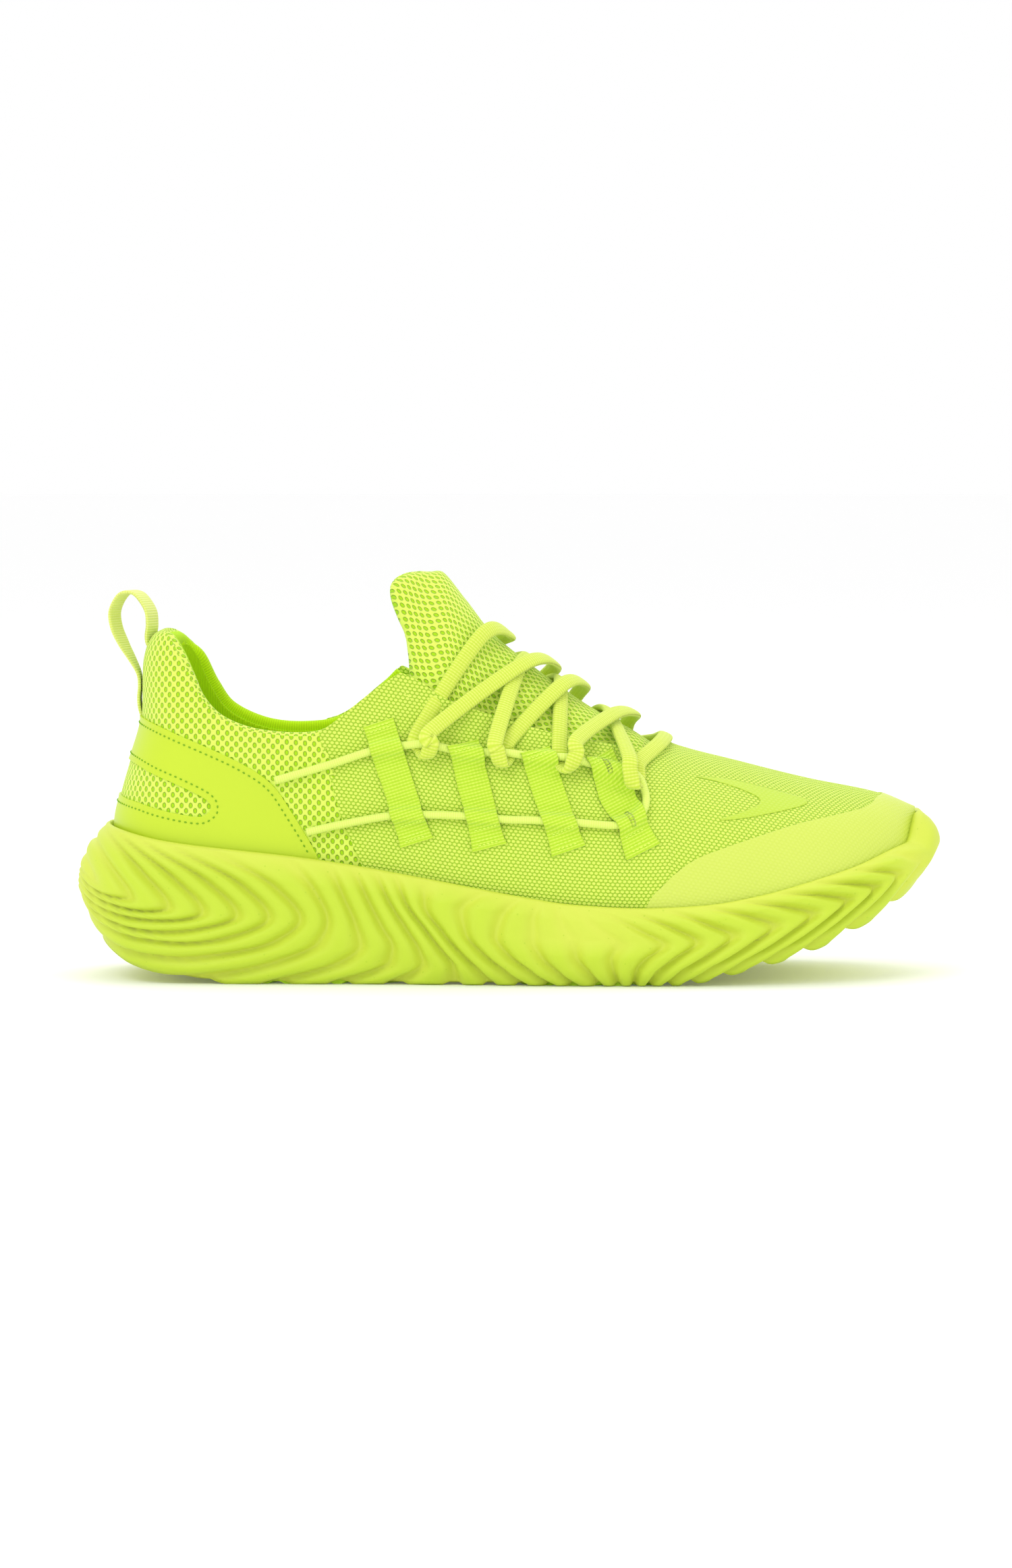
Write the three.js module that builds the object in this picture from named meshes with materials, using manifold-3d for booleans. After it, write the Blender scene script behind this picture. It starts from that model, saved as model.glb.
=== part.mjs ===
// A right-foot running shoe, in millimetres, +X to the toe and +Z up.
// The shoe is drawn from the heel's rearmost point (x = 0) and centred at the end of the file.
import * as THREE from "three";
import { mergeVertices } from "three/addons/utils/BufferGeometryUtils.js";
import Module from "manifold-3d";

const wasm = await Module();
wasm.setup();

// ---- Driving dimensions ----------------------------------------------------------------------
const GAP = 0.3; // clearance between touching pieces
const HEEL_FAN_X = 44; // the heel is rounded about this x
const TOE_FAN_X = 238; // the toe is rounded from here on
const UPPER_TOE_X = 297; // front of the upper, hidden behind the toe bumper
const PLAN_POWER = 2.3; // roundness of heel and toe in plan
const SECTION_P = 2.3; // roundness of the upper's cross-section
const SECTION_Q = 2.1;
const SHELL = 2.0; // thickness of mesh and knit
const COUNTER = 1.3;
const FOAM = 3.6;
const LINING = 0.8;
const TONGUE_DEPTH = 2.6; // tongue top under the skin, so the lace lies flush
const TONGUE_THICK = 7.5;
const CORD_RADIUS = 1.4;
const LACE_RADIUS = 1.4;
const STRAP_WIDTH = 11;
const STRAP_THICK = 1.0;
const OVERLAY_THICK = 0.8;
const FILM_THICK = 0.4;
const TREAD_THICK = 2.0;
const TOE_LIP = 12.5; // rise of the sole's rim over the very front of the toe
const LOOP_WIDTH = 11;
const LOOP_THICK = 1.2;

// ---- Curves: each is a smooth function through a few named stations -----------------------------
function curve(points) {
  const slope = (i) => (points[i + 1][1] - points[i][1]) / (points[i + 1][0] - points[i][0]);
  const tangents = points.map((_, i) => {
    if (i === 0) return slope(0);
    if (i === points.length - 1) return slope(i - 1);
    const before = slope(i - 1);
    const after = slope(i);
    return before * after <= 0 ? 0 : (2 * before * after) / (before + after);
  });
  return (x) => {
    if (x <= points[0][0]) return points[0][1];
    if (x >= points.at(-1)[0]) return points.at(-1)[1];
    let i = 0;
    while (x > points[i + 1][0]) i += 1;
    const h = points[i + 1][0] - points[i][0];
    const t = (x - points[i][0]) / h;
    return points[i][1] * (1 + 2 * t) * (1 - t) ** 2 + tangents[i] * h * t * (1 - t) ** 2
      + points[i + 1][1] * t * t * (3 - 2 * t) + tangents[i + 1] * h * t * t * (t - 1);
  };
}

const crest = curve([[44, 150], [60, 158], [80, 168], [100, 172], [110, 168], [117, 158],
  [125, 148.6], [131, 144.6], [139, 134], [148, 122.5], [160, 113], [172, 104.5], [185, 96],
  [197, 89.5], [208, 83], [235, 75.5], [259, 69.5], [284, 64.3], [297, 59]]);
const heelBack = curve([[30, 13], [54, 12.8], [65, 14.9], [77, 18.3], [92, 22.4], [107, 23.2],
  [117, 24.8], [121, 27], [124.5, 33], [138, 39], [150, 44]]);
const footbed = curve([[44, 30], [90, 27], [150, 18.5], [200, 15], [240, 20], [270, 28], [297, 38]]);
const lateralWidth = curve([[44, 35], [90, 35], [140, 40], [190, 47], [220, 48], [250, 46], [297, 40]]);
const medialWidth = curve([[44, 35], [90, 33], [140, 36], [190, 43], [220, 45], [250, 44], [297, 38]]);
const centreLine = curve([[44, 0], [120, -1], [200, 2], [250, 5], [297, 7]]);
const soleTop = curve([[0, 56], [10, 54], [31, 49.7], [87, 43], [127, 36.2], [154, 31.2], [175, 28.1],
  [200, 26.9], [220, 27.8], [240, 31], [259, 35.8], [275, 40.4], [290, 46], [297, 48]]);
const soleBottom = curve([[0, 25], [6, 17.3], [12.5, 12.5], [25, 7.2], [44, 3.4], [70, 2.3], [144, 2.3],
  [200, 2.3], [218, 3.8], [237, 7.7], [256, 13], [274, 20.9], [290, 29.5], [305, 39]]);
const soleLateral = curve([[44, 42], [100, 42], [140, 46], [190, 53], [220, 54], [250, 51], [305, 44]]);
const soleMedial = curve([[44, 42], [100, 40], [140, 43], [190, 50], [220, 52], [250, 50], [305, 43]]);
const soleBulge = curve([[0, 0.88], [0.15, 0.96], [0.4, 1], [0.8, 0.985], [1, 0.95]]);
const soleHeelX = curve([[0, 9], [0.12, 3], [0.25, 0], [0.5, 0.8], [0.75, 4], [1, 9.8]]);
const soleToeX = curve([[0, 298.5], [0.2, 302.5], [0.5, 305], [0.8, 302], [1, 296.7]]);

// ---- The skin of the upper ------------------------------------------------------------------------
// side is -1 on the lateral side and +1 on the medial side; depth is measured inwards.
const baseWidth = (x, side) => (side < 0 ? lateralWidth(x) : medialWidth(x));
const superCos = (angle, power) => Math.max(0, Math.cos(angle)) ** (2 / power);
const superSin = (angle, power) => Math.max(0, Math.sin(angle)) ** (2 / power);

function planFactor(x, z, depth) {
  if (x < HEEL_FAN_X) {
    const reach = Math.max(HEEL_FAN_X - heelBack(z) - depth, 0.01);
    const run = Math.min((HEEL_FAN_X - x) / reach, 1);
    return (1 - run ** PLAN_POWER) ** (1 / PLAN_POWER);
  }
  if (x > TOE_FAN_X) {
    const run = Math.min((x - TOE_FAN_X) / (UPPER_TOE_X - depth - TOE_FAN_X), 1);
    return (1 - run ** PLAN_POWER) ** (1 / PLAN_POWER);
  }
  return 1;
}

function skinY(x, z, side, depth = 0) {
  const station = Math.max(x, HEEL_FAN_X);
  const low = footbed(station);
  const rise = Math.min(Math.max((z - low) / (crest(station) - depth - low), 0), 1);
  const section = (1 - rise ** SECTION_P) ** (1 / SECTION_Q);
  return centreLine(x) + side * (baseWidth(station, side) - depth) * section * planFactor(x, z, depth);
}

function skinZ(x, y, depth = 0) {
  const side = y < centreLine(x) ? -1 : 1;
  const run = Math.min(Math.abs(y - centreLine(x)) / (baseWidth(x, side) - depth), 1);
  const low = footbed(x);
  return low + (crest(x) - depth - low) * (1 - run ** SECTION_Q) ** (1 / SECTION_P);
}

// A point on the skin's side at (x, z), moved straight out of the surface.
function sidePoint(x, z, side, out) {
  const step = 0.5;
  const y = skinY(x, z, side);
  const along = (skinY(x + step, z, side) - skinY(x - step, z, side)) / (2 * step);
  const up = (skinY(x, z + step, side) - skinY(x, z - step, side)) / (2 * step);
  const normal = new THREE.Vector3(-along, 1, -up).multiplyScalar(side).normalize();
  return new THREE.Vector3(x, y, z).addScaledVector(normal, out);
}

// A point over the skin's crest at (x, y), moved straight out of the surface.
function topPoint(x, y, out) {
  const step = 0.5;
  const slopeX = (skinZ(x + step, y) - skinZ(x - step, y)) / (2 * step);
  const slopeY = (skinZ(x, y + step) - skinZ(x, y - step)) / (2 * step);
  const normal = new THREE.Vector3(-slopeX, -slopeY, 1).normalize();
  return new THREE.Vector3(x, y, skinZ(x, y)).addScaledVector(normal, out);
}

// ---- Solids ---------------------------------------------------------------------------------------
function solidOf(geometry) {
  const bare = geometry.index ? geometry.toNonIndexed() : geometry.clone();
  for (const name of Object.keys(bare.attributes)) {
    if (name !== "position") bare.deleteAttribute(name);
  }
  const merged = mergeVertices(bare, 1e-4);
  const index = [...merged.index.array];
  const triangles = [];
  for (let i = 0; i < index.length; i += 3) {
    const [a, b, c] = index.slice(i, i + 3);
    if (a !== b && b !== c && c !== a) triangles.push(a, b, c);
  }
  const mesh = new wasm.Mesh({
    numProp: 3,
    vertProperties: new Float32Array(merged.attributes.position.array),
    triVerts: new Uint32Array(triangles),
  });
  return new wasm.Manifold(mesh);
}

function geometryOf(solid) {
  const mesh = solid.getMesh();
  const geometry = new THREE.BufferGeometry();
  geometry.setAttribute("position", new THREE.BufferAttribute(new Float32Array(mesh.vertProperties), 3));
  geometry.setIndex(new THREE.BufferAttribute(new Uint32Array(mesh.triVerts), 1));
  return geometry;
}

// A closed solid from rows of points: every row is one ring of the same length.
function loft(rows) {
  const positions = [];
  const face = (a, b, c) => positions.push(...a.toArray(), ...b.toArray(), ...c.toArray());
  for (let i = 0; i + 1 < rows.length; i += 1) {
    const ring = rows[i];
    const next = rows[i + 1];
    ring.forEach((point, j) => {
      const k = (j + 1) % ring.length;
      face(point, next[j], next[k]);
      face(point, next[k], ring[k]);
    });
  }
  const geometry = new THREE.BufferGeometry();
  geometry.setAttribute("position", new THREE.Float32BufferAttribute(positions, 3));
  return solidOf(geometry);
}

const LEVELS = 8;
const HEEL_STEPS = 6;
const TOE_STEPS = 5;
const CORD_STEPS = 44;
const LACE_STEPS = 190;
const BODY_STATIONS = [44, 64, 84, 102, 117, 127, 138, 150, 168, 188, 212, 238];

// Closed volume inside the skin, pulled in by depth and carried down by drop under the footbed.
function envelope(depth, drop = 0) {
  const rows = [];
  const quarter = Math.PI / 2;
  const pushRow = (pointAt) => {
    const ring = [];
    for (let j = 0; j <= LEVELS; j += 1) ring.push(pointAt((j / LEVELS) * quarter, -1));
    for (let j = LEVELS - 1; j >= 0; j -= 1) ring.push(pointAt((j / LEVELS) * quarter, 1));
    if (drop > 0) {
      const lowered = (point) => new THREE.Vector3(point.x, point.y, point.z - drop);
      ring.push(lowered(ring.at(-1)));
      ring.unshift(lowered(ring[0]));
    }
    rows.push(ring);
  };
  for (let i = 0; i < HEEL_STEPS; i += 1) {
    const turn = (i / HEEL_STEPS) * quarter;
    pushRow((t, side) => {
      const low = footbed(HEEL_FAN_X);
      const z = low + (crest(HEEL_FAN_X) - depth - low) * superSin(t, SECTION_P);
      const reach = Math.max(HEEL_FAN_X - heelBack(z + depth * superSin(t, SECTION_P)) - depth, 0);
      const width = (baseWidth(HEEL_FAN_X, side) - depth) * superCos(t, SECTION_Q);
      return new THREE.Vector3(HEEL_FAN_X - reach * superCos(turn, PLAN_POWER),
        side * width * superSin(turn, PLAN_POWER), z);
    });
  }
  const sectionRow = (x, factor) => pushRow((t, side) => {
    const low = footbed(x);
    const y = centreLine(x) + side * (baseWidth(x, side) - depth) * factor * superCos(t, SECTION_Q);
    return new THREE.Vector3(x, y, low + (crest(x) - depth - low) * superSin(t, SECTION_P));
  });
  BODY_STATIONS.forEach((x) => sectionRow(x, 1));
  for (let i = 1; i <= TOE_STEPS; i += 1) {
    const turn = quarter * (1 - i / TOE_STEPS);
    const reach = UPPER_TOE_X - depth - TOE_FAN_X;
    sectionRow(TOE_FAN_X + reach * superCos(turn, PLAN_POWER), superSin(turn, PLAN_POWER));
  }
  return loft(rows);
}

// A flat outline in the side view, (x, z), pushed through from yLow to yHigh.
function prism(outline, yLow = -90, yHigh = 90) {
  const shape = new THREE.Shape(outline.map(([x, z]) => new THREE.Vector2(x, z)));
  const geometry = new THREE.ExtrudeGeometry(shape, { depth: yHigh - yLow, bevelEnabled: false });
  geometry.rotateX(Math.PI / 2).translate(0, yHigh, 0);
  return solidOf(geometry);
}

// A smooth line through hand-set points, as a list of points.
function smooth(points, count) {
  const line = new THREE.SplineCurve(points.map(([x, z]) => new THREE.Vector2(x, z)));
  return line.getPoints(count).map((point) => [point.x, point.y]);
}

function tube(points, radius, steps, sides = 8) {
  const ring = new THREE.Shape();
  for (let i = 0; i < sides; i += 1) {
    const turn = (2 * Math.PI * i) / sides;
    const [x, y] = [radius * Math.cos(turn), radius * Math.sin(turn)];
    if (i === 0) ring.moveTo(x, y);
    else ring.lineTo(x, y);
  }
  const extrudePath = new THREE.CatmullRomCurve3(points, false, "centripetal");
  return new THREE.ExtrudeGeometry(ring, { steps, extrudePath, bevelEnabled: false });
}

// Everything between two side-view lines.
const slab = (lowLine, highLine) => prism([...lowLine, ...[...highLine].reverse()]);
const footbedLine = (rise) => [-20, 30, 60, 90, 120, 150, 175, 200, 220, 240, 255, 270, 284, 297, 330]
  .map((x) => [x, footbed(x) + rise]);
const boardRise = 1.6;
const wallRise = boardRise + GAP;
const insoleRise = wallRise + 4.5;
const aboveBoard = slab(footbedLine(wallRise), [[-20, 200], [330, 200]]);

// ---- Side-view lines of the upper -----------------------------------------------------------------
const collarLateral = smooth([[20, 123.5], [32.3, 123.7], [37.5, 116], [41.4, 109.2], [45.7, 100.8],
  [52, 94.1], [62.6, 89.5], [76.6, 87.6], [87, 88.4], [94.2, 93.4], [104.5, 101.6], [113.9, 108.1]], 26);
const collarMedial = smooth([[20, 124], [33.7, 124.3], [43.6, 117.4], [49, 107], [54.8, 98.5], [66, 92.8],
  [80.2, 91.4], [92.8, 94], [106.1, 104.3], [113.9, 109.5]], 26);
const throat = smooth([[122.7, 104.6], [130, 99.5], [148, 93], [166, 87.5], [182, 84], [197, 81.5],
  [207, 79]], 14);
const openingAbove = (collar, drop) => [...[...collar, ...throat].map(([x, z]) => [x, z - drop]),
  [210 + drop, 200], [-20, 200], [-20, 123.5 - drop]];
const openingSolid = (drop) => prism(openingAbove(collarLateral, drop), -90, 0)
  .add(prism(openingAbove(collarMedial, drop), -0.001, 90));
const opening = openingSolid(0);
const seam = [[86.3, 87.3], [88.9, 76.1], [94.1, 57.9], [101.1, 41.8], [106, 20]];
const behindSeam = (shift) => prism([[-20, 10], ...[...seam].reverse().map(([x, z]) => [x + shift, z]),
  [85 + shift, 200], [-20, 200]]);
const aheadOfSeam = prism([...seam, [330, 20], [330, 200], [85, 200]]);

// ---- Upper ----------------------------------------------------------------------------------------
const layer = (from, thick) => envelope(from).subtract(envelope(from + thick, 6)).intersect(aboveBoard);
const shell = layer(0, SHELL).subtract(opening);
const heelQuarter = shell.intersect(behindSeam(-GAP));
const vamp = shell.intersect(aheadOfSeam);
const counterDepth = SHELL + GAP;
const foamDepth = counterDepth + COUNTER + GAP;
const heelLiningDepth = foamDepth + FOAM + GAP;
const counterOutline = prism([[-20, 10], [84, 10], [76, 50], [58, 72], [30, 88], [-20, 92]]);
const heelCounter = layer(counterDepth, COUNTER).intersect(counterOutline);
const collarPadding = layer(foamDepth, FOAM).subtract(opening).intersect(behindSeam(-GAP));
const heelLining = layer(heelLiningDepth, LINING).subtract(opening).intersect(behindSeam(-GAP));
const toePuffLine = 262;
const liningStep = 1.5; // the lining stops this far below the knit's edge
const frontLayer = layer(counterDepth, LINING).subtract(openingSolid(liningStep)).intersect(aheadOfSeam);
const vampLining = frontLayer.intersect(prism([[80, 0], [toePuffLine, 0], [toePuffLine, 200], [80, 200]]));
const toePuff = frontLayer.intersect(prism([[toePuffLine + GAP, 0], [330, 0], [330, 200],
  [toePuffLine + GAP, 200]]));

const strobelBoard = envelope(0).intersect(slab(footbedLine(-3), footbedLine(boardRise)));
const insole = envelope(heelLiningDepth + LINING + GAP).intersect(
  slab(footbedLine(wallRise), footbedLine(insoleRise)));

// ---- Tongue: a fixed base under the lacing and a flap above it ------------------------------------
const tonguePivot = [147, 123.2];
const tongueEdge = smooth([[116.3, 108], [115.9, 122.4], [113.3, 130], [111.1, 137.5], [112.2, 141.4],
  [116, 144], [122, 145.6], [129, 147]], 16);
const tongueUnder = [[128, 92], [148, 82], [166, 76], [184, 72], [201, 71], [202, 100]];
const splitLine = [[112, 104.3], tonguePivot, [160, 130.1]];
const tongueLayer = envelope(TONGUE_DEPTH).subtract(envelope(TONGUE_DEPTH + TONGUE_THICK, 6));
const tongueWhole = tongueLayer.intersect(prism([[117.5, 96], ...tongueUnder, [160, 180],
  ...[...tongueEdge].reverse()]));
const aboveSplit = (shift) => prism([...splitLine.map(([x, z]) => [x, z + shift]), [160, 190], [100, 190]]);
const tongueFlap = tongueWhole.intersect(aboveSplit(0.25));
const tongueBase = tongueWhole.subtract(aboveSplit(-0.25)).subtract(
  envelope(0).subtract(envelope(counterDepth + LINING + GAP, 6)).subtract(opening));

// ---- Overlays -------------------------------------------------------------------------------------
const aboveSole = slab([[-20, 40], [12, 45], [31, 41], [87, 35], [127, 28], [154, 23], [200, 19], [240, 23],
  [275, 33], [297, 40], [330, 50]], [[-20, 200], [330, 200]]);
const outerLayer = (from, thick) => envelope(-from - thick).subtract(envelope(-from, 6)).intersect(aboveSole);
const overlayEdge = smooth([[10, 95], [22.8, 92.3], [45, 83.2], [59, 76.8], [69.6, 69.8], [76.6, 60],
  [85.8, 44.2], [89, 34]], 20);
const overlayWindow = [...smooth([[5, 79], [18.2, 77.1], [28.7, 72.7], [36.3, 69.6], [44, 66], [47.8, 63.5],
  [48.8, 60.8], [47, 59], [44, 58.2], [36.3, 59.3], [28.7, 61], [21, 63.1], [5, 67]], 26)];
const heelOverlay = outerLayer(GAP, OVERLAY_THICK)
  .intersect(prism([[-20, 20], ...[...overlayEdge].reverse(), [-20, 96]]))
  .subtract(prism([[-20, 67], ...[...overlayWindow].reverse(), [-20, 79]]));
const toeOverlayEdge = smooth([[300, 66], [284, 63.5], [275, 59.3], [262, 57], [251.4, 54.8], [227.5, 47.6],
  [215.5, 42.8], [206, 34.9], [200.4, 27.7], [197, 15]], 20);
const toeOverlay = outerLayer(GAP, FILM_THICK).intersect(prism([...toeOverlayEdge, [330, 15], [330, 66]]));
const chevronOutline = [[257.7, 62.7], [248.2, 65.9], [235.4, 69.1], [227.5, 70.7], [217.9, 71.5],
  [232.3, 67.5], [240.2, 63.1], [232.3, 59.1], [225.1, 57.1], [243.4, 58.8], [252, 60]];
const chevron = (side) => outerLayer(GAP, FILM_THICK)
  .intersect(prism([...chevronOutline].reverse(), side < 0 ? -90 : 10, side < 0 ? -5 : 90));

// ---- Side cords and their straps ------------------------------------------------------------------
// Each cord point is (x, z, distance out of the skin).
const underOverlay = CORD_RADIUS + OVERLAY_THICK + 2 * GAP;
const onSkin = CORD_RADIUS + GAP;
const lifted = onSkin + 2 * LACE_RADIUS + GAP;
const cordRoute = [[71, 70.8, underOverlay], [89.3, 76.2, onSkin], [104.1, 81, onSkin], [114, 82.8, onSkin],
  [124, 83.2, lifted], [137, 80.8, onSkin], [150, 79.8, lifted], [162.5, 78.6, onSkin], [172.5, 77.2, lifted],
  [184, 75, onSkin], [195, 71, lifted], [199.6, 66, onSkin], [199.2, 60.5, onSkin], [195, 56.5, onSkin],
  [189, 55.3, onSkin], [176.9, 56.3, onSkin], [163.5, 57.2, onSkin], [150.5, 57.6, onSkin],
  [137.4, 58.8, onSkin], [123.8, 59.2, onSkin], [110.8, 58.7, onSkin], [94.2, 55.7, onSkin],
  [82, 53, underOverlay]];
const cordPoints = (side) => cordRoute.map(([x, z, out]) => sidePoint(x, z, side, out));
const sideCord = (side) => tube(cordPoints(side), CORD_RADIUS, CORD_STEPS, 6);
const strapLines = [
  [[107, 91.2], [120.5, 49.3]], [[136.6, 84], [145.9, 47.8]], [[161.6, 81], [173.4, 46.9]],
  [[183.6, 79], [199.4, 46.6]],
];
function strap([top, foot], side) {
  const along = new THREE.Vector2(foot[0] - top[0], foot[1] - top[1]).normalize();
  const across = new THREE.Vector2(-along.y, along.x).multiplyScalar(STRAP_WIDTH / 2);
  const flare = 1.1;
  const corner = ([x, z], share) => [x + across.x * share, z + across.y * share];
  const outline = [corner(top, -1), corner(foot, -flare), corner(foot, flare), corner(top, 1)];
  const range = side < 0 ? [-90, -5] : [10, 90];
  const column = prism(outline, ...range);
  const band = envelope(-GAP - STRAP_THICK).subtract(envelope(-GAP, 6)).intersect(column);
  const channel = solidOf(tube(cordPoints(side), CORD_RADIUS + GAP + STRAP_THICK, CORD_STEPS, 6))
    .intersect(column);
  return band.add(channel).subtract(cordClearance(side)).subtract(envelope(-GAP / 2, 6))
    .subtract(laceClearance);
}

// ---- Lace -----------------------------------------------------------------------------------------
// The lace runs round the side cord at four places on each side and crosses over the tongue.
const anchors = [[124, 83.2], [150, 79.8], [172.5, 77.2], [195, 71]];
const inFront = lifted + CORD_RADIUS + LACE_RADIUS + GAP;
const behind = LACE_RADIUS + GAP;
// The lace comes down in front of the cord, turns under it and rises behind it.
function roundCord(index, side, leaveLean) {
  const [x, z] = anchors[index];
  return [
    sidePoint(x - leaveLean, z + 5, side, inFront - 1),
    sidePoint(x - leaveLean * 0.8, z, side, inFront),
    sidePoint(x, z - 4, side, lifted),
    sidePoint(x + leaveLean * 0.8, z, side, behind),
    sidePoint(x + leaveLean, z + 5, side, behind),
  ];
}
const lowPass = LACE_RADIUS + 2 * GAP - TONGUE_DEPTH;
const highPass = lowPass + 2 * LACE_RADIUS + 2 * GAP;
// Each stretch over the tongue: [x, y] on the lateral flank, at the crest and on the medial flank.
function stretch(points, pass) {
  return points.map(([x, y]) => topPoint(x, y, pass));
}
const lean = 2.6;
const lacePoints = [
  sidePoint(126.5, 98, 1, behind), sidePoint(125, 94, 1, behind),
  ...roundCord(0, 1, -lean).reverse(),
  ...stretch([[150, 19], [159.5, 3], [156, -17]], lowPass), ...roundCord(1, -1, lean),
  ...stretch([[170, -15], [177.5, 3], [175, 19]], highPass), ...roundCord(2, 1, lean),
  ...stretch([[183, 18], [187.5, 3], [190, -12]], lowPass), ...roundCord(3, -1, lean),
  ...stretch([[205, -13], [207.5, 3], [205, 17]], behind), ...roundCord(3, 1, -lean),
  ...stretch([[194, 19], [195.5, 3], [188.5, -13]], highPass), ...roundCord(2, -1, -lean),
  ...stretch([[171, -15], [170.5, 3], [164, 19]], lowPass), ...roundCord(1, 1, -lean),
  ...stretch([[163, 19], [167, 3], [156.5, -17]], highPass), ...roundCord(0, -1, -lean),
  ...stretch([[142, -19], [151.5, 0], [147, 14]], behind), sidePoint(142, 110.5, 1, behind),
];
const cordClearance = (side) => solidOf(tube(cordPoints(side), CORD_RADIUS + GAP, CORD_STEPS, 6));
const knitClearance = envelope(-GAP).subtract(envelope(SHELL + GAP, 6)).subtract(opening);
const lace = solidOf(tube(lacePoints, LACE_RADIUS, LACE_STEPS, 5)).subtract(knitClearance)
  .subtract(envelope(TONGUE_DEPTH - GAP)).subtract(cordClearance(-1)).subtract(cordClearance(1));
const laceClearance = solidOf(tube(lacePoints, LACE_RADIUS + GAP, LACE_STEPS, 5));
const agletLength = 7;
// An aglet carries on from the lace's end, with a small gap.
function aglet(end, before) {
  const direction = end.clone().sub(before).normalize();
  const start = end.clone().addScaledVector(direction, GAP);
  const finish = start.clone().addScaledVector(direction, agletLength);
  return tube([start, finish], LACE_RADIUS * 0.95, 1);
}

// ---- Pull tape and loop at the heel ---------------------------------------------------------------
// A ribbon seen edge-on: a centre line in the side view, thickened and given its width.
function ribbon(points, count) {
  const line = new THREE.SplineCurve(points.map(([x, z]) => new THREE.Vector2(x, z)));
  const left = [];
  const right = [];
  for (let i = 0; i <= count; i += 1) {
    const point = line.getPoint(i / count);
    const tangent = line.getTangent(i / count);
    const offset = new THREE.Vector2(-tangent.y, tangent.x).multiplyScalar(LOOP_THICK / 2);
    left.push([point.x + offset.x, point.y + offset.y]);
    right.push([point.x - offset.x, point.y - offset.y]);
  }
  return prism([...left, ...right.reverse()], -LOOP_WIDTH / 2, LOOP_WIDTH / 2);
}
const tapeOut = LOOP_THICK / 2 + 0.35;
const pullTape = ribbon([94, 98, 102, 106].map((z) => [heelBack(z) - tapeOut, z]), 6)
  .subtract(envelope(-GAP));
const pullLoop = ribbon([[25, 119.3], [26.1, 125], [25.6, 130.5], [21, 136.9], [15.2, 137.3],
  [10.6, 130.6], [10.9, 124.5], [14, 117]], 30);

// ---- Sole -----------------------------------------------------------------------------------------
const SOLE_LEVELS = [0, 0.12, 0.25, 0.4, 0.6, 0.8, 1];
const SOLE_STATIONS = [44, 70, 92, 118, 146, 172, 200, 219, 238];
// The front of the rim stands up as a lip; along runs from 0 to 1 over the toe fan.
function lipHeight(along) {
  const share = Math.min(Math.max((along - 0.86) / 0.125, 0), 1);
  return TOE_LIP * share * share * (3 - 2 * share);
}
function soleRow(turn, end) {
  const ring = [];
  const lip = end === "toe" ? lipHeight(superCos(turn, PLAN_POWER)) : 0;
  const pointAt = (level, side) => {
    const reach = end === "heel" ? HEEL_FAN_X - soleHeelX(level) : soleToeX(level) - TOE_FAN_X;
    const run = reach * superCos(turn, PLAN_POWER);
    const x = end === "heel" ? HEEL_FAN_X - run : TOE_FAN_X + run;
    return soleWall(x, level, side, superSin(turn, PLAN_POWER), lip);
  };
  SOLE_LEVELS.forEach((level) => ring.push(pointAt(level, -1)));
  [...SOLE_LEVELS].reverse().forEach((level) => ring.push(pointAt(level, 1)));
  return ring;
}
function soleWall(x, level, side, factor, lip = 0) {
  const width = (side < 0 ? soleLateral(x) : soleMedial(x)) * soleBulge(level) * factor;
  const z = soleBottom(x) + (soleTop(x) + lip - soleBottom(x)) * level;
  return new THREE.Vector3(x, centreLine(x) + side * width, z);
}
const soleRows = [];
for (let i = 0; i < HEEL_STEPS; i += 1) soleRows.push(soleRow((i / HEEL_STEPS) * Math.PI / 2, "heel"));
SOLE_STATIONS.forEach((x) => soleRows.push([
  ...SOLE_LEVELS.map((level) => soleWall(x, level, -1, 1)),
  ...[...SOLE_LEVELS].reverse().map((level) => soleWall(x, level, 1, 1)),
]));
for (let i = 1; i <= TOE_STEPS; i += 1) {
  soleRows.push(soleRow((Math.PI / 2) * (1 - i / TOE_STEPS), "toe"));
}
const upperClearance = OVERLAY_THICK + 2 * GAP;
const midsole = loft(soleRows).subtract(envelope(-upperClearance, GAP));

function tread(xStart, xEnd, widthShare) {
  const count = 32;
  const middle = (xStart + xEnd) / 2;
  const outline = [];
  for (let i = 0; i < count; i += 1) {
    const turn = (2 * Math.PI * i) / count;
    const spread = (value) => Math.sign(value) * Math.abs(value) ** 0.6;
    const x = middle + ((xEnd - xStart) / 2) * spread(Math.cos(turn));
    const side = Math.sin(turn) < 0 ? -1 : 1;
    const width = (side < 0 ? soleLateral(x) : soleMedial(x)) * widthShare;
    outline.push(new THREE.Vector2(x, centreLine(x) + width * spread(Math.sin(turn))));
  }
  return new THREE.ExtrudeGeometry(new THREE.Shape(outline), { depth: TREAD_THICK, bevelEnabled: false });
}

// ---- The assembly ---------------------------------------------------------------------------------
const shoe = new THREE.Group();
const neon = { color: 0xb9f21a, roughness: 0.85, metalness: 0 };
const finishes = {
  foam: { ...neon, roughness: 0.6 },
  rubber: { color: 0xa4e012, roughness: 0.7, metalness: 0 },
  mesh: neon,
  knit: { ...neon, color: 0xc4f23c },
  lining: { ...neon, color: 0x9bd60f },
  board: { color: 0xe8e8da, roughness: 0.95, metalness: 0 },
  film: { color: 0xbff41e, roughness: 0.35, metalness: 0 },
  webbing: { color: 0xaef01e, roughness: 0.7, metalness: 0 },
  plastic: { color: 0xc6f53a, roughness: 0.3, metalness: 0 },
};
function add(name, shape, finish) {
  const geometry = shape.getMesh ? geometryOf(shape) : shape;
  const mesh = new THREE.Mesh(geometry, new THREE.MeshStandardMaterial(finishes[finish]));
  mesh.name = name;
  shoe.add(mesh);
}

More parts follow.
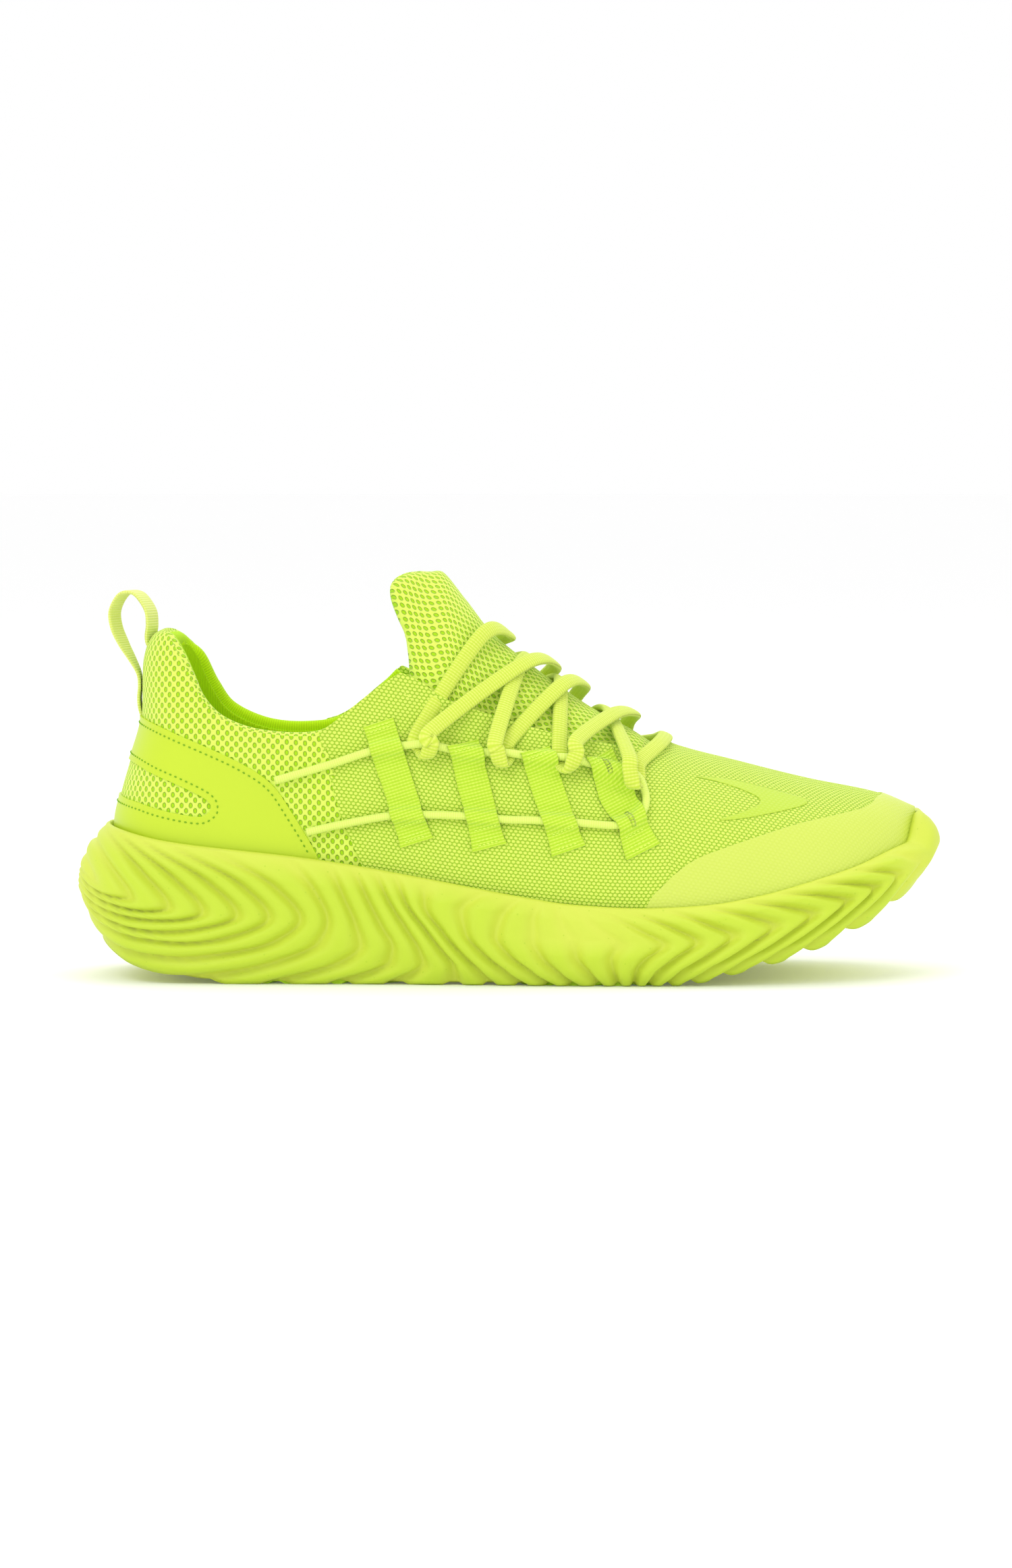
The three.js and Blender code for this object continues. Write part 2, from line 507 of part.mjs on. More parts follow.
add("midsole", midsole, "foam");
add("outsole_heel", tread(46, 120, 0.86), "rubber");
add("outsole_forefoot", tread(146, 216, 0.86), "rubber");
add("strobel_board", strobelBoard, "board");
add("insole", insole, "lining");
add("heel_quarter", heelQuarter, "mesh");
add("heel_counter", heelCounter, "board");
add("collar_padding", collarPadding, "lining");
add("heel_lining", heelLining, "lining");
add("vamp", vamp, "knit");
add("vamp_lining", vampLining, "lining");
add("toe_puff", toePuff, "board");
add("heel_overlay", heelOverlay, "film");
add("toe_overlay", toeOverlay, "film");
add("tongue_base", tongueBase, "mesh");
add("tongue_flap", tongueFlap, "mesh");
add("lace", lace, "webbing");
add("aglet_1", aglet(lacePoints[0], lacePoints[1]), "plastic");
add("aglet_2", aglet(lacePoints.at(-1), lacePoints.at(-2)), "plastic");
add("pull_tape", pullTape, "webbing");
add("pull_loop", pullLoop, "webbing");
for (const [side, label] of [[-1, "lateral"], [1, "medial"]]) {
  add(`side_cord_${label}`, sideCord(side), "webbing");
  add(`chevron_${label}`, chevron(side), "film");
  strapLines.forEach((line, i) => add(`strap_${label}_${i + 1}`, strap(line, side), "webbing"));
}

// The origin is under the middle of the shoe, on the ground.
const box = new THREE.Box3().setFromObject(shoe);
shoe.position.set(-(box.min.x + box.max.x) / 2, -(box.min.y + box.max.y) / 2, -box.min.z);
export default shoe;
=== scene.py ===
"""A neon running shoe on a pale floor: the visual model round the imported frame."""
import math

import bmesh
import bpy
import numpy as np
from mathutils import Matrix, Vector


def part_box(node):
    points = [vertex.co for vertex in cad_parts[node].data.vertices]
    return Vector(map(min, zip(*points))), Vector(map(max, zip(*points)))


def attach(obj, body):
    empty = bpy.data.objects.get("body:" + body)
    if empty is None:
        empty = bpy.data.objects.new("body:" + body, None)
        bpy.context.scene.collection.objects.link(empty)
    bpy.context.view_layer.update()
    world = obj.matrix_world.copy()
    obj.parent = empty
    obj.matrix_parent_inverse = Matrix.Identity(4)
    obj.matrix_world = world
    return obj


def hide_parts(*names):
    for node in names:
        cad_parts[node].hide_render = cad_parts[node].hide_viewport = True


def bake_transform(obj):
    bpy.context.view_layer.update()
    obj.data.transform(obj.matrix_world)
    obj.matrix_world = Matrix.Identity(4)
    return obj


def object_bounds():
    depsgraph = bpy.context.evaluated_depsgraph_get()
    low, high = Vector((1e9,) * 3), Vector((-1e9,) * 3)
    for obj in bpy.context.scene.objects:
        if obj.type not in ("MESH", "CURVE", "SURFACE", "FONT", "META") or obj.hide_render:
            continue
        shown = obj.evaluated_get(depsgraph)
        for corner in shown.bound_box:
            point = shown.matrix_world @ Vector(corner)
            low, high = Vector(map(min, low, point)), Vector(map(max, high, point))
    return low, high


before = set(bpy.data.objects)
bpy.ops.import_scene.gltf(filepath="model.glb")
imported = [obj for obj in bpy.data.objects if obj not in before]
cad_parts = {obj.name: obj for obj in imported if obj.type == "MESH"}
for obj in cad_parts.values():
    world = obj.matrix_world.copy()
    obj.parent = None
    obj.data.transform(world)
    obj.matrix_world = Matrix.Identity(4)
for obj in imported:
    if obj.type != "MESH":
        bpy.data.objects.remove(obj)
CAD_LOW, CAD_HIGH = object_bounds()

# ---- The design's own units: millimetres from the heel's rearmost point ----
LOOP_LOW, LOOP_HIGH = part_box("pull_loop")
SHIFT = np.array([-CAD_LOW[0] * 1000, -(LOOP_LOW[1] + LOOP_HIGH[1]) * 500, 0.0])


def to_frame(points):
    """Design millimetres to frame metres."""
    return (np.asarray(points, float) - SHIFT) / 1000


# ---- Camera: a long lens, a little above level with the shoe's side ----
VIEW_HEIGHT = 0.5575  # metres seen across the picture's long side
CAMERA_DISTANCE = 1.86
CAMERA_RISE = math.radians(3.5)
SENSOR = 36.0
camera_data = bpy.data.cameras.new("camera")
camera_data.sensor_width = SENSOR
camera_data.lens = SENSOR * CAMERA_DISTANCE / VIEW_HEIGHT
camera = bpy.data.objects.new("camera", camera_data)
bpy.context.collection.objects.link(camera)
AIM = Vector((-0.0008, 0.0, 0.0675))
BACK = Vector((0, -math.cos(CAMERA_RISE), math.sin(CAMERA_RISE)))
camera.location = AIM + BACK * CAMERA_DISTANCE
camera.rotation_mode = "QUATERNION"
camera.rotation_quaternion = (-BACK).to_track_quat("-Z", "Y")
bpy.context.scene.camera = camera


# ---- Curves ----
def curve(points):
    """A smooth monotone function through (x, value) stations."""
    xs, ys = np.array(points, float).T
    slopes = np.diff(ys) / np.diff(xs)
    tangents = np.concatenate([slopes[:1], np.zeros(len(xs) - 2), slopes[-1:]])
    for i in range(1, len(xs) - 1):
        before, after = slopes[i - 1], slopes[i]
        tangents[i] = 0 if before * after <= 0 else 2 * before * after / (before + after)

    def value(x):
        x = np.clip(np.asarray(x, float), xs[0], xs[-1])
        i = np.clip(np.searchsorted(xs, x, side="right") - 1, 0, len(xs) - 2)
        h = xs[i + 1] - xs[i]
        t = (x - xs[i]) / h
        return (
            ys[i] * (1 + 2 * t) * (1 - t) ** 2 + tangents[i] * h * t * (1 - t) ** 2
            + ys[i + 1] * t * t * (3 - 2 * t) + tangents[i + 1] * h * t * t * (t - 1)
        )

    return value


def distance_along(points):
    """How far along a line of points each of them lies."""
    return np.concatenate([[0], np.cumsum(np.linalg.norm(np.diff(points, axis=0), axis=1))])


def unit(vectors):
    """Vectors brought to length 1 along their last axis."""
    return vectors / np.maximum(np.linalg.norm(vectors, axis=-1, keepdims=True), 1e-9)


def spline(points, count):
    """A Catmull-Rom curve through points of any dimension, at count + 1 even steps of length."""
    p = np.array(points, float)
    p = np.vstack([2 * p[0] - p[1], p, 2 * p[-1] - p[-2]])
    fine = []
    for a, b, c, d in zip(p, p[1:], p[2:], p[3:]):
        for t in np.linspace(0, 1, 24, endpoint=False):
            fine.append(0.5 * (2 * b + (c - a) * t + (2 * a - 5 * b + 4 * c - d) * t * t
                               + (3 * b - a - 3 * c + d) * t ** 3))
    fine = np.array(fine + [p[-2]])
    place = distance_along(fine[:, :3])
    steps = np.linspace(0, place[-1], count + 1)
    return np.stack([np.interp(steps, place, fine[:, k]) for k in range(fine.shape[1])], axis=1)


# The upper: its fans at heel and toe, the roundness of its plan and of its cross-section, and
# its crest, heel, footbed, widths and centre line at stations along the shoe.
HEEL_X, TOE_X, TOE_END, PLAN_POWER, SECTION_P, SECTION_Q = 44.0, 238.0, 297.0, 2.3, 2.3, 2.1
crest = curve([(44, 150), (60, 158), (80, 168), (100, 172), (110, 168), (117, 158), (125, 148.6),
               (131, 144.6), (139, 134), (148, 122.5), (160, 113), (172, 104.5), (185, 96),
               (197, 89.5), (208, 83), (235, 75.5), (259, 69.5), (284, 64.3), (297, 59)])
heel_back = curve([(30, 13), (54, 12.8), (65, 14.9), (77, 18.3), (92, 22.4), (107, 23.2),
                   (117, 24.8), (121, 27), (124.5, 33), (138, 39), (150, 44)])
footbed = curve([(44, 30), (90, 27), (150, 18.5), (200, 15), (240, 20), (270, 28), (297, 38)])
lateral_width = curve([(44, 35), (90, 35), (140, 40), (190, 47), (220, 48), (250, 46), (297, 40)])
medial_width = curve([(44, 35), (90, 33), (140, 36), (190, 43), (220, 45), (250, 44), (297, 38)])
centre_line = curve([(44, 0), (120, -1), (200, 2), (250, 5), (297, 7)])
# The sole: its rim, underside and widths along the shoe, and its bulge and two ends up the wall.
sole_top = curve([(0, 56), (10, 54), (31, 49.7), (87, 43), (127, 36.2), (154, 31.2), (175, 28.1),
                  (200, 26.9), (220, 27.8), (240, 31), (259, 35.8), (275, 40.4), (290, 46), (297, 48)])
sole_bottom = curve([(0, 25), (6, 17.3), (12.5, 12.5), (25, 7.2), (44, 3.4), (70, 2.3), (144, 2.3),
                     (200, 2.3), (218, 3.8), (237, 7.7), (256, 13), (274, 20.9), (290, 29.5), (305, 39)])
sole_lateral = curve([(44, 42), (100, 42), (140, 46), (190, 53), (220, 54), (250, 51), (305, 44)])
sole_medial = curve([(44, 42), (100, 40), (140, 43), (190, 50), (220, 52), (250, 50), (305, 43)])
sole_bulge = curve([(0, 0.88), (0.15, 0.96), (0.4, 1), (0.8, 0.985), (1, 0.95)])
sole_heel_x = curve([(0, 9), (0.12, 3), (0.25, 0), (0.5, 0.8), (0.75, 4), (1, 9.8)])
sole_toe_x = curve([(0, 298), (0.2, 303), (0.45, 305.8), (0.7, 305.2), (0.88, 303.2), (1, 300.4)])


def base_width(x, side):
    return np.where(side < 0, lateral_width(x), medial_width(x))


def fan(turn):
    """Shares of length and width at a turn round the heel or the toe, measured from its tip."""
    return max(math.cos(turn), 0.0) ** (2 / PLAN_POWER), max(math.sin(turn), 0.0) ** (2 / PLAN_POWER)


def section_share(rise):
    """The upper's half-width at a share of its height, as a share of its width at the base."""
    return (1 - rise ** SECTION_P) ** (1 / SECTION_Q)


# ---- The skin: a dense grid of points, the same surface as the frame's upper ----
RING = 300
HEEL_ROWS, BODY_ROWS, TOE_ROWS = 90, 400, 110


def skin_grid(ring=RING, heel=HEEL_ROWS, body=BODY_ROWS, toe=TOE_ROWS):
    """Rows of points from the heel to the toe; each row runs lateral base, crest, medial base."""
    s = np.linspace(-1, 1, ring)
    side = np.where(s < 0, -1.0, 1.0)
    t = (1 - np.abs(s)) * math.pi / 2
    up = np.sin(t) ** (2 / SECTION_P)
    out = np.cos(t) ** (2 / SECTION_Q)
    rows = []
    for turn in np.linspace(0.0, math.pi / 2, heel, endpoint=False):
        along, factor = fan(turn)
        z = footbed(HEEL_X) + (crest(HEEL_X) - footbed(HEEL_X)) * up
        x = HEEL_X - (HEEL_X - heel_back(z)) * along
        y = side * base_width(HEEL_X, side) * out * factor
        rows.append(np.stack([x, y, z], axis=1))
    stations = [(x, 1.0) for x in np.linspace(HEEL_X, TOE_X, body, endpoint=False)]
    for turn in np.linspace(math.pi / 2, 0.0, toe):
        along, factor = fan(turn)
        stations.append((TOE_X + (TOE_END - TOE_X) * along, factor))
    for x, factor in stations:
        z = footbed(x) + (crest(x) - footbed(x)) * up
        y = centre_line(x) + side * base_width(x, side) * out * max(factor, 1e-4)
        rows.append(np.stack([np.full_like(z, x), y, z], axis=1))
    return np.array(rows)


def grid_normals(points):
    return unit(np.cross(np.gradient(points, axis=0), np.gradient(points, axis=1)))


SKIN = skin_grid()
SKIN_N = grid_normals(SKIN)
SKIN_SIDE = np.broadcast_to(np.where(np.linspace(-1, 1, RING) < 0, -1, 1), SKIN.shape[:2])
# Cloth coordinates in millimetres. Behind CLOTH_X they run level along the side and up from the
# footbed; ahead of it they follow the skin and start at its crest. The two agree at CLOTH_X.
CLOTH_X = 208.0
CREST_COLUMN = RING // 2
CLOTH_ROW = HEEL_ROWS + int(BODY_ROWS * (CLOTH_X - HEEL_X) / (TOE_X - HEEL_X))


def cloth_coordinates():
    """The skin's cloth coordinates: along the shoe, and round it from the crest."""
    step = np.diff(SKIN, axis=0, prepend=SKIN[:1])
    level_step = np.linalg.norm(step[..., :2], axis=2)
    base_step = level_step[:, :1]
    fan = np.cumsum(level_step[:HEEL_ROWS], axis=0)
    fan -= fan[-1:]
    body = np.cumsum(np.broadcast_to(base_step, level_step.shape)[HEEL_ROWS:CLOTH_ROW], axis=0)
    front = np.cumsum(np.linalg.norm(step, axis=2)[CLOTH_ROW:], axis=0) + body[-1:]
    u = np.concatenate([fan, body, front])
    girth = np.cumsum(np.linalg.norm(np.diff(SKIN, axis=1, prepend=SKIN[:, :1]), axis=2), axis=1)
    from_crest = girth - girth[:, CREST_COLUMN:CREST_COLUMN + 1]
    half = np.where(from_crest < 0, -from_crest[:, :1], from_crest[:, -1:])
    row = min(CLOTH_ROW, len(SKIN) - 1)
    excess = np.where(np.arange(len(SKIN))[:, None] < row, half - half[row:row + 1], 0)
    return np.stack([u, from_crest - np.sign(from_crest) * excess], axis=2)


SKIN_UV = cloth_coordinates()
# The tongue's cloth: down its slope, and across it from its crest.
TONGUE_SLOPE = math.radians(37)
tongue_step = np.diff(SKIN, axis=1, prepend=SKIN[:, :1])
tongue_across = np.cumsum(np.hypot(tongue_step[..., 1], tongue_step[..., 2] * math.cos(TONGUE_SLOPE)), axis=1)
TONGUE_UV = np.stack([
    tongue_across - tongue_across[:, CREST_COLUMN:CREST_COLUMN + 1],
    SKIN[..., 0] * math.cos(TONGUE_SLOPE) - SKIN[..., 2] * math.sin(TONGUE_SLOPE),
], axis=2)
PROBE = 0.5  # half the step over which a slope of the skin is measured


def from_sides(x, z, side, out):
    """Points on the skin's side at (x, z), moved out along its normals, and the normals."""
    x, z, out = np.broadcast_arrays(np.asarray(x, float), np.asarray(z, float), np.asarray(out, float))

    def across(px, pz):
        station = np.maximum(px, HEEL_X)
        low = footbed(station)
        rise = np.clip((pz - low) / (crest(station) - low), 0, 1)
        heel_run = np.clip((HEEL_X - px) / np.maximum(HEEL_X - heel_back(pz), 0.01), 0, 1)
        toe_run = np.clip((px - TOE_X) / (TOE_END - TOE_X), 0, 1)
        run = np.where(px < HEEL_X, heel_run, toe_run)
        plan = (1 - run ** PLAN_POWER) ** (1 / PLAN_POWER)
        return centre_line(px) + side * base_width(station, side) * section_share(rise) * plan

    along = (across(x + PROBE, z) - across(x - PROBE, z)) / (2 * PROBE)
    rise = (across(x, z + PROBE) - across(x, z - PROBE)) / (2 * PROBE)
    normals = unit(np.stack([-along, np.ones_like(along), -rise], axis=-1) * side)
    return np.stack([x, across(x, z), z], axis=-1) + normals * out[..., None], normals


def from_top(x, y, out):
    """A point over the skin at (x, y), moved out along the normal, and the normal."""
    def height(px, py):
        side = -1 if py < centre_line(px) else 1
        run = min(abs(py - float(centre_line(px))) / float(base_width(px, side)), 1)
        low = float(footbed(px))
        return low + (float(crest(px)) - low) * (1 - run ** SECTION_Q) ** (1 / SECTION_P)

    normal = unit(np.array([-(height(x + PROBE, y) - height(x - PROBE, y)) / (2 * PROBE),
                            -(height(x, y + PROBE) - height(x, y - PROBE)) / (2 * PROBE), 1.0]))
    return np.array([x, y, height(x, y)]) + normal * out, normal


def carried(places, side):
    """Side-view places (x, z, out) carried onto the skin: rows of a point and its normal."""
    x, z, out = np.transpose(places)
    return np.hstack(from_sides(x, z, side, out))


# ---- Mesh building ----
def make(name, points, faces, uvs=None, smooth=True, millimetres=True):
    """A mesh object from design points, with an optional UV per vertex in millimetres."""
    mesh = bpy.data.meshes.new(name)
    co = to_frame(points) if millimetres else np.asarray(points, float)
    mesh.from_pydata([tuple(p) for p in co], [], [tuple(int(i) for i in f) for f in faces])
    if uvs is not None:
        layer = mesh.uv_layers.new(name="cloth")
        corner = np.empty(len(mesh.loops), dtype=np.int32)
        mesh.loops.foreach_get("vertex_index", corner)
        layer.data.foreach_set("uv", np.asarray(uvs, float)[corner].astype(np.float32).ravel())
    mesh.polygons.foreach_set("use_smooth", [smooth] * len(mesh.polygons))
    mesh.update()
    obj = bpy.data.objects.new(name, mesh)
    bpy.context.collection.objects.link(obj)
    return obj


def weld(obj, distance):
    """Merges points closer than distance millimetres and drops faces that have no area."""
    bm = bmesh.new()
    bm.from_mesh(obj.data)
    bmesh.ops.remove_doubles(bm, verts=bm.verts, dist=distance / 1000)
    bmesh.ops.dissolve_degenerate(bm, edges=bm.edges, dist=1e-7)
    bmesh.ops.recalc_face_normals(bm, faces=bm.faces)
    bm.to_mesh(obj.data)
    bm.free()
    return obj


def thicken(obj, thickness, bevel=0.0):
    """Gives a sheet its thickness in millimetres, inwards from its outer face."""
    solid = obj.modifiers.new("thickness", "SOLIDIFY")
    solid.thickness = thickness / 1000
    solid.offset = -1
    solid.use_even_offset = False
    if bevel:
        edge = obj.modifiers.new("edge", "BEVEL")
        edge.width = bevel / 1000
        edge.segments = 2
        edge.limit_method = "ANGLE"
        edge.angle_limit = math.radians(50)
    bpy.context.view_layer.update()
    graph = bpy.context.evaluated_depsgraph_get()
    mesh = bpy.data.meshes.new_from_object(obj.evaluated_get(graph))
    obj.modifiers.clear()
    obj.data = mesh
    return obj


def band_faces(rows, count, corners=(0, 1, 2, 3), closed=True):
    """The quads between rows of count points, each row a closed ring or open, corners in that order."""
    i, j = np.meshgrid(np.arange(rows - 1), np.arange(count if closed else count - 1), indexing="ij")
    after = (j + 1) % count
    quads = np.stack([i * count + j, i * count + after, (i + 1) * count + after, (i + 1) * count + j], -1)
    return quads.reshape(-1, 4)[:, list(corners)].tolist()


def end_caps(rows, count):
    return [tuple(range(count - 1, -1, -1)), tuple(range((rows - 1) * count, rows * count))]


def distance_inside(border, x, z):
    """Signed distance to a closed side-view outline, positive inside."""
    shape = np.shape(x)
    px, pz = np.ravel(x), np.ravel(z)
    poly = np.array(border, float)
    nearest = np.full(px.shape, 1e9)
    inside = np.zeros(px.shape, bool)
    for (ax, az), (bx, bz) in zip(poly, np.roll(poly, -1, axis=0)):
        dx, dz = bx - ax, bz - az
        length = dx * dx + dz * dz
        if length < 1e-12:
            continue
        t = np.clip(((px - ax) * dx + (pz - az) * dz) / length, 0, 1)
        nearest = np.minimum(nearest, np.hypot(px - ax - t * dx, pz - az - t * dz))
        if az != bz:
            crosses = (az > pz) != (bz > pz)
            inside ^= crosses & (px < ax + (pz - az) * dx / dz)
    return np.where(inside, nearest, -nearest).reshape(shape)


def clip_grid(points, field, uvs):
    """The part of a grid where field is positive, with its edge cut along field = 0."""
    rows, ring = field.shape
    flat, value, uv = points.reshape(-1, 3), field.ravel(), uvs.reshape(-1, 2)
    keep = value > 0
    number = {}
    out_points, out_uvs, faces = [], [], []

    def corner(i):
        if i not in number:
            number[i] = len(out_points)
            out_points.append(flat[i])
            out_uvs.append(uv[i])
        return number[i]

    def cut(i, j):
        key = (min(i, j), max(i, j))
        if key not in number:
            a, b = key
            t = value[a] / (value[a] - value[b])
            t = min(max(t, 0.02), 0.98)
            number[key] = len(out_points)
            out_points.append(flat[a] + (flat[b] - flat[a]) * t)
            out_uvs.append(uv[a] + (uv[b] - uv[a]) * t)
        return number[key]

    grid = np.arange(rows * ring).reshape(rows, ring)
    quads = np.stack([grid[:-1, :-1], grid[1:, :-1], grid[1:, 1:], grid[:-1, 1:]], axis=-1).reshape(-1, 4)
    for quad in quads[keep[quads].any(axis=1)]:
        face = []
        for k in range(4):
            i, j = int(quad[k]), int(quad[(k + 1) % 4])
            if keep[i]:
                face.append(corner(i))
            if keep[i] != keep[j]:
                face.append(cut(i, j))
        if len(face) > 2:
            faces.append(face)
    return np.array(out_points), faces, np.array(out_uvs)


def skin_panel(name, field, out=0.0, thickness=1.0, bevel=0.0):
    """A closed cloth panel on the skin: where field is positive, moved out by out millimetres."""
    lift = np.asarray(out, float)
    moved = SKIN + SKIN_N * (lift[..., None] if lift.ndim else lift)
    points, faces, uvs = clip_grid(moved, field, SKIN_UV)
    return thicken(make(name, points, faces, uvs), thickness, bevel)


def shift_line(line, distance):
    """A side-view line moved sideways by a distance."""
    p = np.array(line, float)
    tangent = unit(np.gradient(p, axis=0))
    return (p + np.stack([-tangent[:, 1], tangent[:, 0]], 1) * distance).tolist()


def sweep(name, centres, normals, section):
    """Carries a closed section, points of (across, out), along centres with the given normals."""
    tangents = unit(np.gradient(centres, axis=0))
    normals = unit(normals - tangents * np.sum(normals * tangents, axis=1, keepdims=True))
    across = np.cross(tangents, normals)
    n, m = len(centres), len(section)
    rings = (centres[:, None] + across[:, None] * section[None, :, :1]
             + normals[:, None] * section[None, :, 1:])
    along, girth = distance_along(centres), distance_along(section)
    uvs = np.stack(np.broadcast_arrays(along[:, None], girth[None, :]), axis=-1)
    return make(name, rings.reshape(-1, 3), band_faces(n, m) + end_caps(n, m), uvs.reshape(-1, 2))


def sweep_rows(name, rows, count, section):
    """Sweeps a section along a smooth curve through rows of a point and a normal."""
    path = spline(rows, count)
    return sweep(name, path[:, :3], path[:, 3:], section)


def oval(width, height, count=16, power=2.0):
    """A closed section between an ellipse, at power 2, and a box."""
    turns = np.linspace(0, 2 * math.pi, count, endpoint=False)
    c, s = np.cos(turns), np.sin(turns)
    return np.stack([np.sign(c) * np.abs(c) ** (2 / power) * width / 2,
                     np.sign(s) * np.abs(s) ** (2 / power) * height / 2], axis=1)


# ---- Materials ----
class Shader:
    """Small helpers round one material's node tree."""

    def __init__(self, name, roughness=0.8, specular=0.3, sheen=0.0):
        self.material = bpy.data.materials.new(name)
        self.material.use_nodes = True
        self.tree = self.material.node_tree
        self.shader = self.tree.nodes["Principled BSDF"]
        self.set("Roughness", roughness)
        self.set("Specular IOR Level", specular)
        self.set("Sheen Weight", sheen)

    def set(self, name, value):
        self.shader.inputs[name].default_value = value

    def link(self, source, target):
        self.tree.links.new(source, target)

    def give(self, target, value):
        """Sets a socket to a colour or a number, or links another socket to it."""
        if isinstance(value, tuple):
            target.default_value = (*value, 1.0)
        elif isinstance(value, (int, float)):
            target.default_value = value
        else:
            self.link(value, target)

    def node(self, kind, **settings):
        node = self.tree.nodes.new(kind)
        for key, value in settings.items():
            setattr(node, key, value)
        return node

    def math(self, operation, *values):
        node = self.node("ShaderNodeMath", operation=operation)
        for target, value in zip(node.inputs, values):
            self.give(target, value)
        return node.outputs[0]

    def cloth(self):
        node = self.node("ShaderNodeUVMap", uv_map="cloth")
        split = self.node("ShaderNodeSeparateXYZ")
        self.link(node.outputs[0], split.inputs[0])
        return split.outputs[0], split.outputs[1]

    def place(self):
        return self.node("ShaderNodeTexCoord").outputs["Object"]

    def noise(self, scale, detail=3.0):
        node = self.node("ShaderNodeTexNoise")
        node.inputs["Scale"].default_value = scale
        node.inputs["Detail"].default_value = detail
        self.link(self.place(), node.inputs["Vector"])
        return node.outputs["Fac"]

    def wave(self, coordinate, pitch):
        """A smooth 0 to 1 ripple of the given pitch along a coordinate."""
        turned = self.math("MULTIPLY", coordinate, 2 * math.pi / pitch)
        return self.math("MULTIPLY_ADD", self.math("COSINE", turned), 0.5, 0.5)

    def lattice(self, u, v, cell, radius, soft):
        """1 in the middle of staggered oval spots, 0 outside them; cell and radius in millimetres."""
        best = None
        for shift in (0.0, 0.5):
            parts = []
            for coordinate, pitch, reach in zip((u, v), cell, radius):
                place = self.math("MULTIPLY_ADD", coordinate, 1 / pitch, shift)
                centred = self.math("SUBTRACT", self.math("FRACT", place), 0.5)
                parts.append(self.math("POWER", self.math("ABSOLUTE", self.math(
                    "MULTIPLY", centred, pitch / reach)), 2.0))
            spot = self.math("SQRT", self.math("ADD", *parts))
            best = spot if best is None else self.math("MINIMUM", best, spot)
        ramp = self.node("ShaderNodeMapRange", interpolation_type="SMOOTHSTEP")
        ramp.inputs["From Min"].default_value = 1 + soft
        ramp.inputs["From Max"].default_value = 1 - soft
        self.link(best, ramp.inputs["Value"])
        return ramp.outputs[0]

    def blend(self, factor, a, b):
        node = self.node("ShaderNodeMix", data_type="RGBA")
        for target, value in ((node.inputs[0], factor), (node.inputs[6], a), (node.inputs[7], b)):
            self.give(target, value)
        return node.outputs[2]

    def finish(self, colour, height=None, depth=0.3, strength=0.8):
        """colour is a socket or a colour; height is 0 to 1 and depth its height in millimetres."""
        self.give(self.shader.inputs["Base Color"], colour)
        if height is not None:
            bump = self.node("ShaderNodeBump")
            bump.inputs["Strength"].default_value = strength
            bump.inputs["Distance"].default_value = depth / 1000
            self.link(height, bump.inputs["Height"])
            self.link(bump.outputs[0], self.shader.inputs["Normal"])
        return self.material


NEON = (0.60, 0.86, 0.035)
NEON_PALE = (0.80, 0.92, 0.17)
# The deep green below is the painted shade in the holes of the air mesh.
NEON_HOLE_SHADE = (0.36, 0.66, 0.006)
MESH_YARN = tuple(0.94 * c for c in NEON_PALE)
MESH_CELL, MESH_HOLE = (3.2, 3.7), (0.62, 0.86)
KNIT_CELL, KNIT_BUMP, FILM_BUMP = (1.65, 2.4), (0.70, 0.58), (0.55, 0.45)


def air_mesh_material():
    s = Shader("air_mesh", roughness=0.85, specular=0.2, sheen=0.15)
    hole = s.lattice(*s.cloth(), MESH_CELL, MESH_HOLE, 0.3)
    fibre = s.noise(1400.0, 2.0)
    # The holes take the deep green: painted shade down in them.
    colour = s.blend(hole, s.blend(s.math("MULTIPLY", fibre, 0.6), MESH_YARN, NEON), NEON_HOLE_SHADE)
    return s.finish(colour, s.math("SUBTRACT", s.math("MULTIPLY", fibre, 0.15), hole), 0.7, 0.9)


def knit_material():
    s = Shader("knit", roughness=0.85, specular=0.2, sheen=0.15)
    u, v = s.cloth()
    bump = s.lattice(u, v, KNIT_CELL, KNIT_BUMP, 0.38)
    strands = s.wave(s.math("ADD", u, v), 0.42)
    bright = s.blend(s.math("MULTIPLY", s.noise(1800.0, 2.0), 0.5), NEON_PALE, NEON)
    # Between the raised bumps the knit is a darker green: painted shade.
    colour = s.blend(bump, (0.35, 0.65, 0.008), bright)
    return s.finish(colour, s.math("ADD", bump, s.math("MULTIPLY", strands, 0.16)), 0.45, 0.85)


def rib_material(name, pitch, base, valley_shade, depth, cross, roughness=0.75):
    """Ribs across the length of a ribbon or lace, with a finer rib the other way, and painted shade in their
    valleys.
    """
    s = Shader(name, roughness=roughness, specular=0.25, sheen=0.2)
    u, v = s.cloth()
    rib = s.wave(u, pitch)
    other = s.wave(v, cross)
    fibre = s.noise(1500.0, 2.0)
    height = s.math("ADD", rib, s.math("MULTIPLY", s.math("ADD", other, fibre), 0.3))
    # Dark in the valleys of the ribs, base on their crests: painted shade.
    colour = s.blend(s.math("MULTIPLY", rib, s.math("MULTIPLY_ADD", other, 0.4, 0.6)), valley_shade, base)
    return s.finish(colour, height, depth, 0.7)


def foam_material():
    """Moulded foam with faint specks, and painted shade: deeper green down in its grooves."""
    s = Shader("sole_foam", roughness=0.55, specular=0.35)
    patch = s.noise(18.0, 2.0)
    speck_node = s.node("ShaderNodeTexVoronoi")
    speck_node.inputs["Scale"].default_value = 260.0
    s.link(s.place(), speck_node.inputs["Vector"])
    speck = s.math("LESS_THAN", speck_node.outputs["Distance"], 0.085)
    base = s.blend(patch, (0.59, 0.69, 0.06), (0.66, 0.74, 0.085))
    # Painted shade: the deeper a point lies in the grooves, the nearer the foam comes to deep green.
    groove_shade, _ = s.cloth()
    shaded = s.blend(s.math("MULTIPLY", groove_shade, 0.6), base, (0.47, 0.67, 0.015))
    colour = s.blend(s.math("MULTIPLY", speck, 0.45), shaded, (0.40, 0.60, 0.02))
    return s.finish(colour, s.math("SUBTRACT", s.noise(900.0, 3.0), speck), 0.08, 0.5)


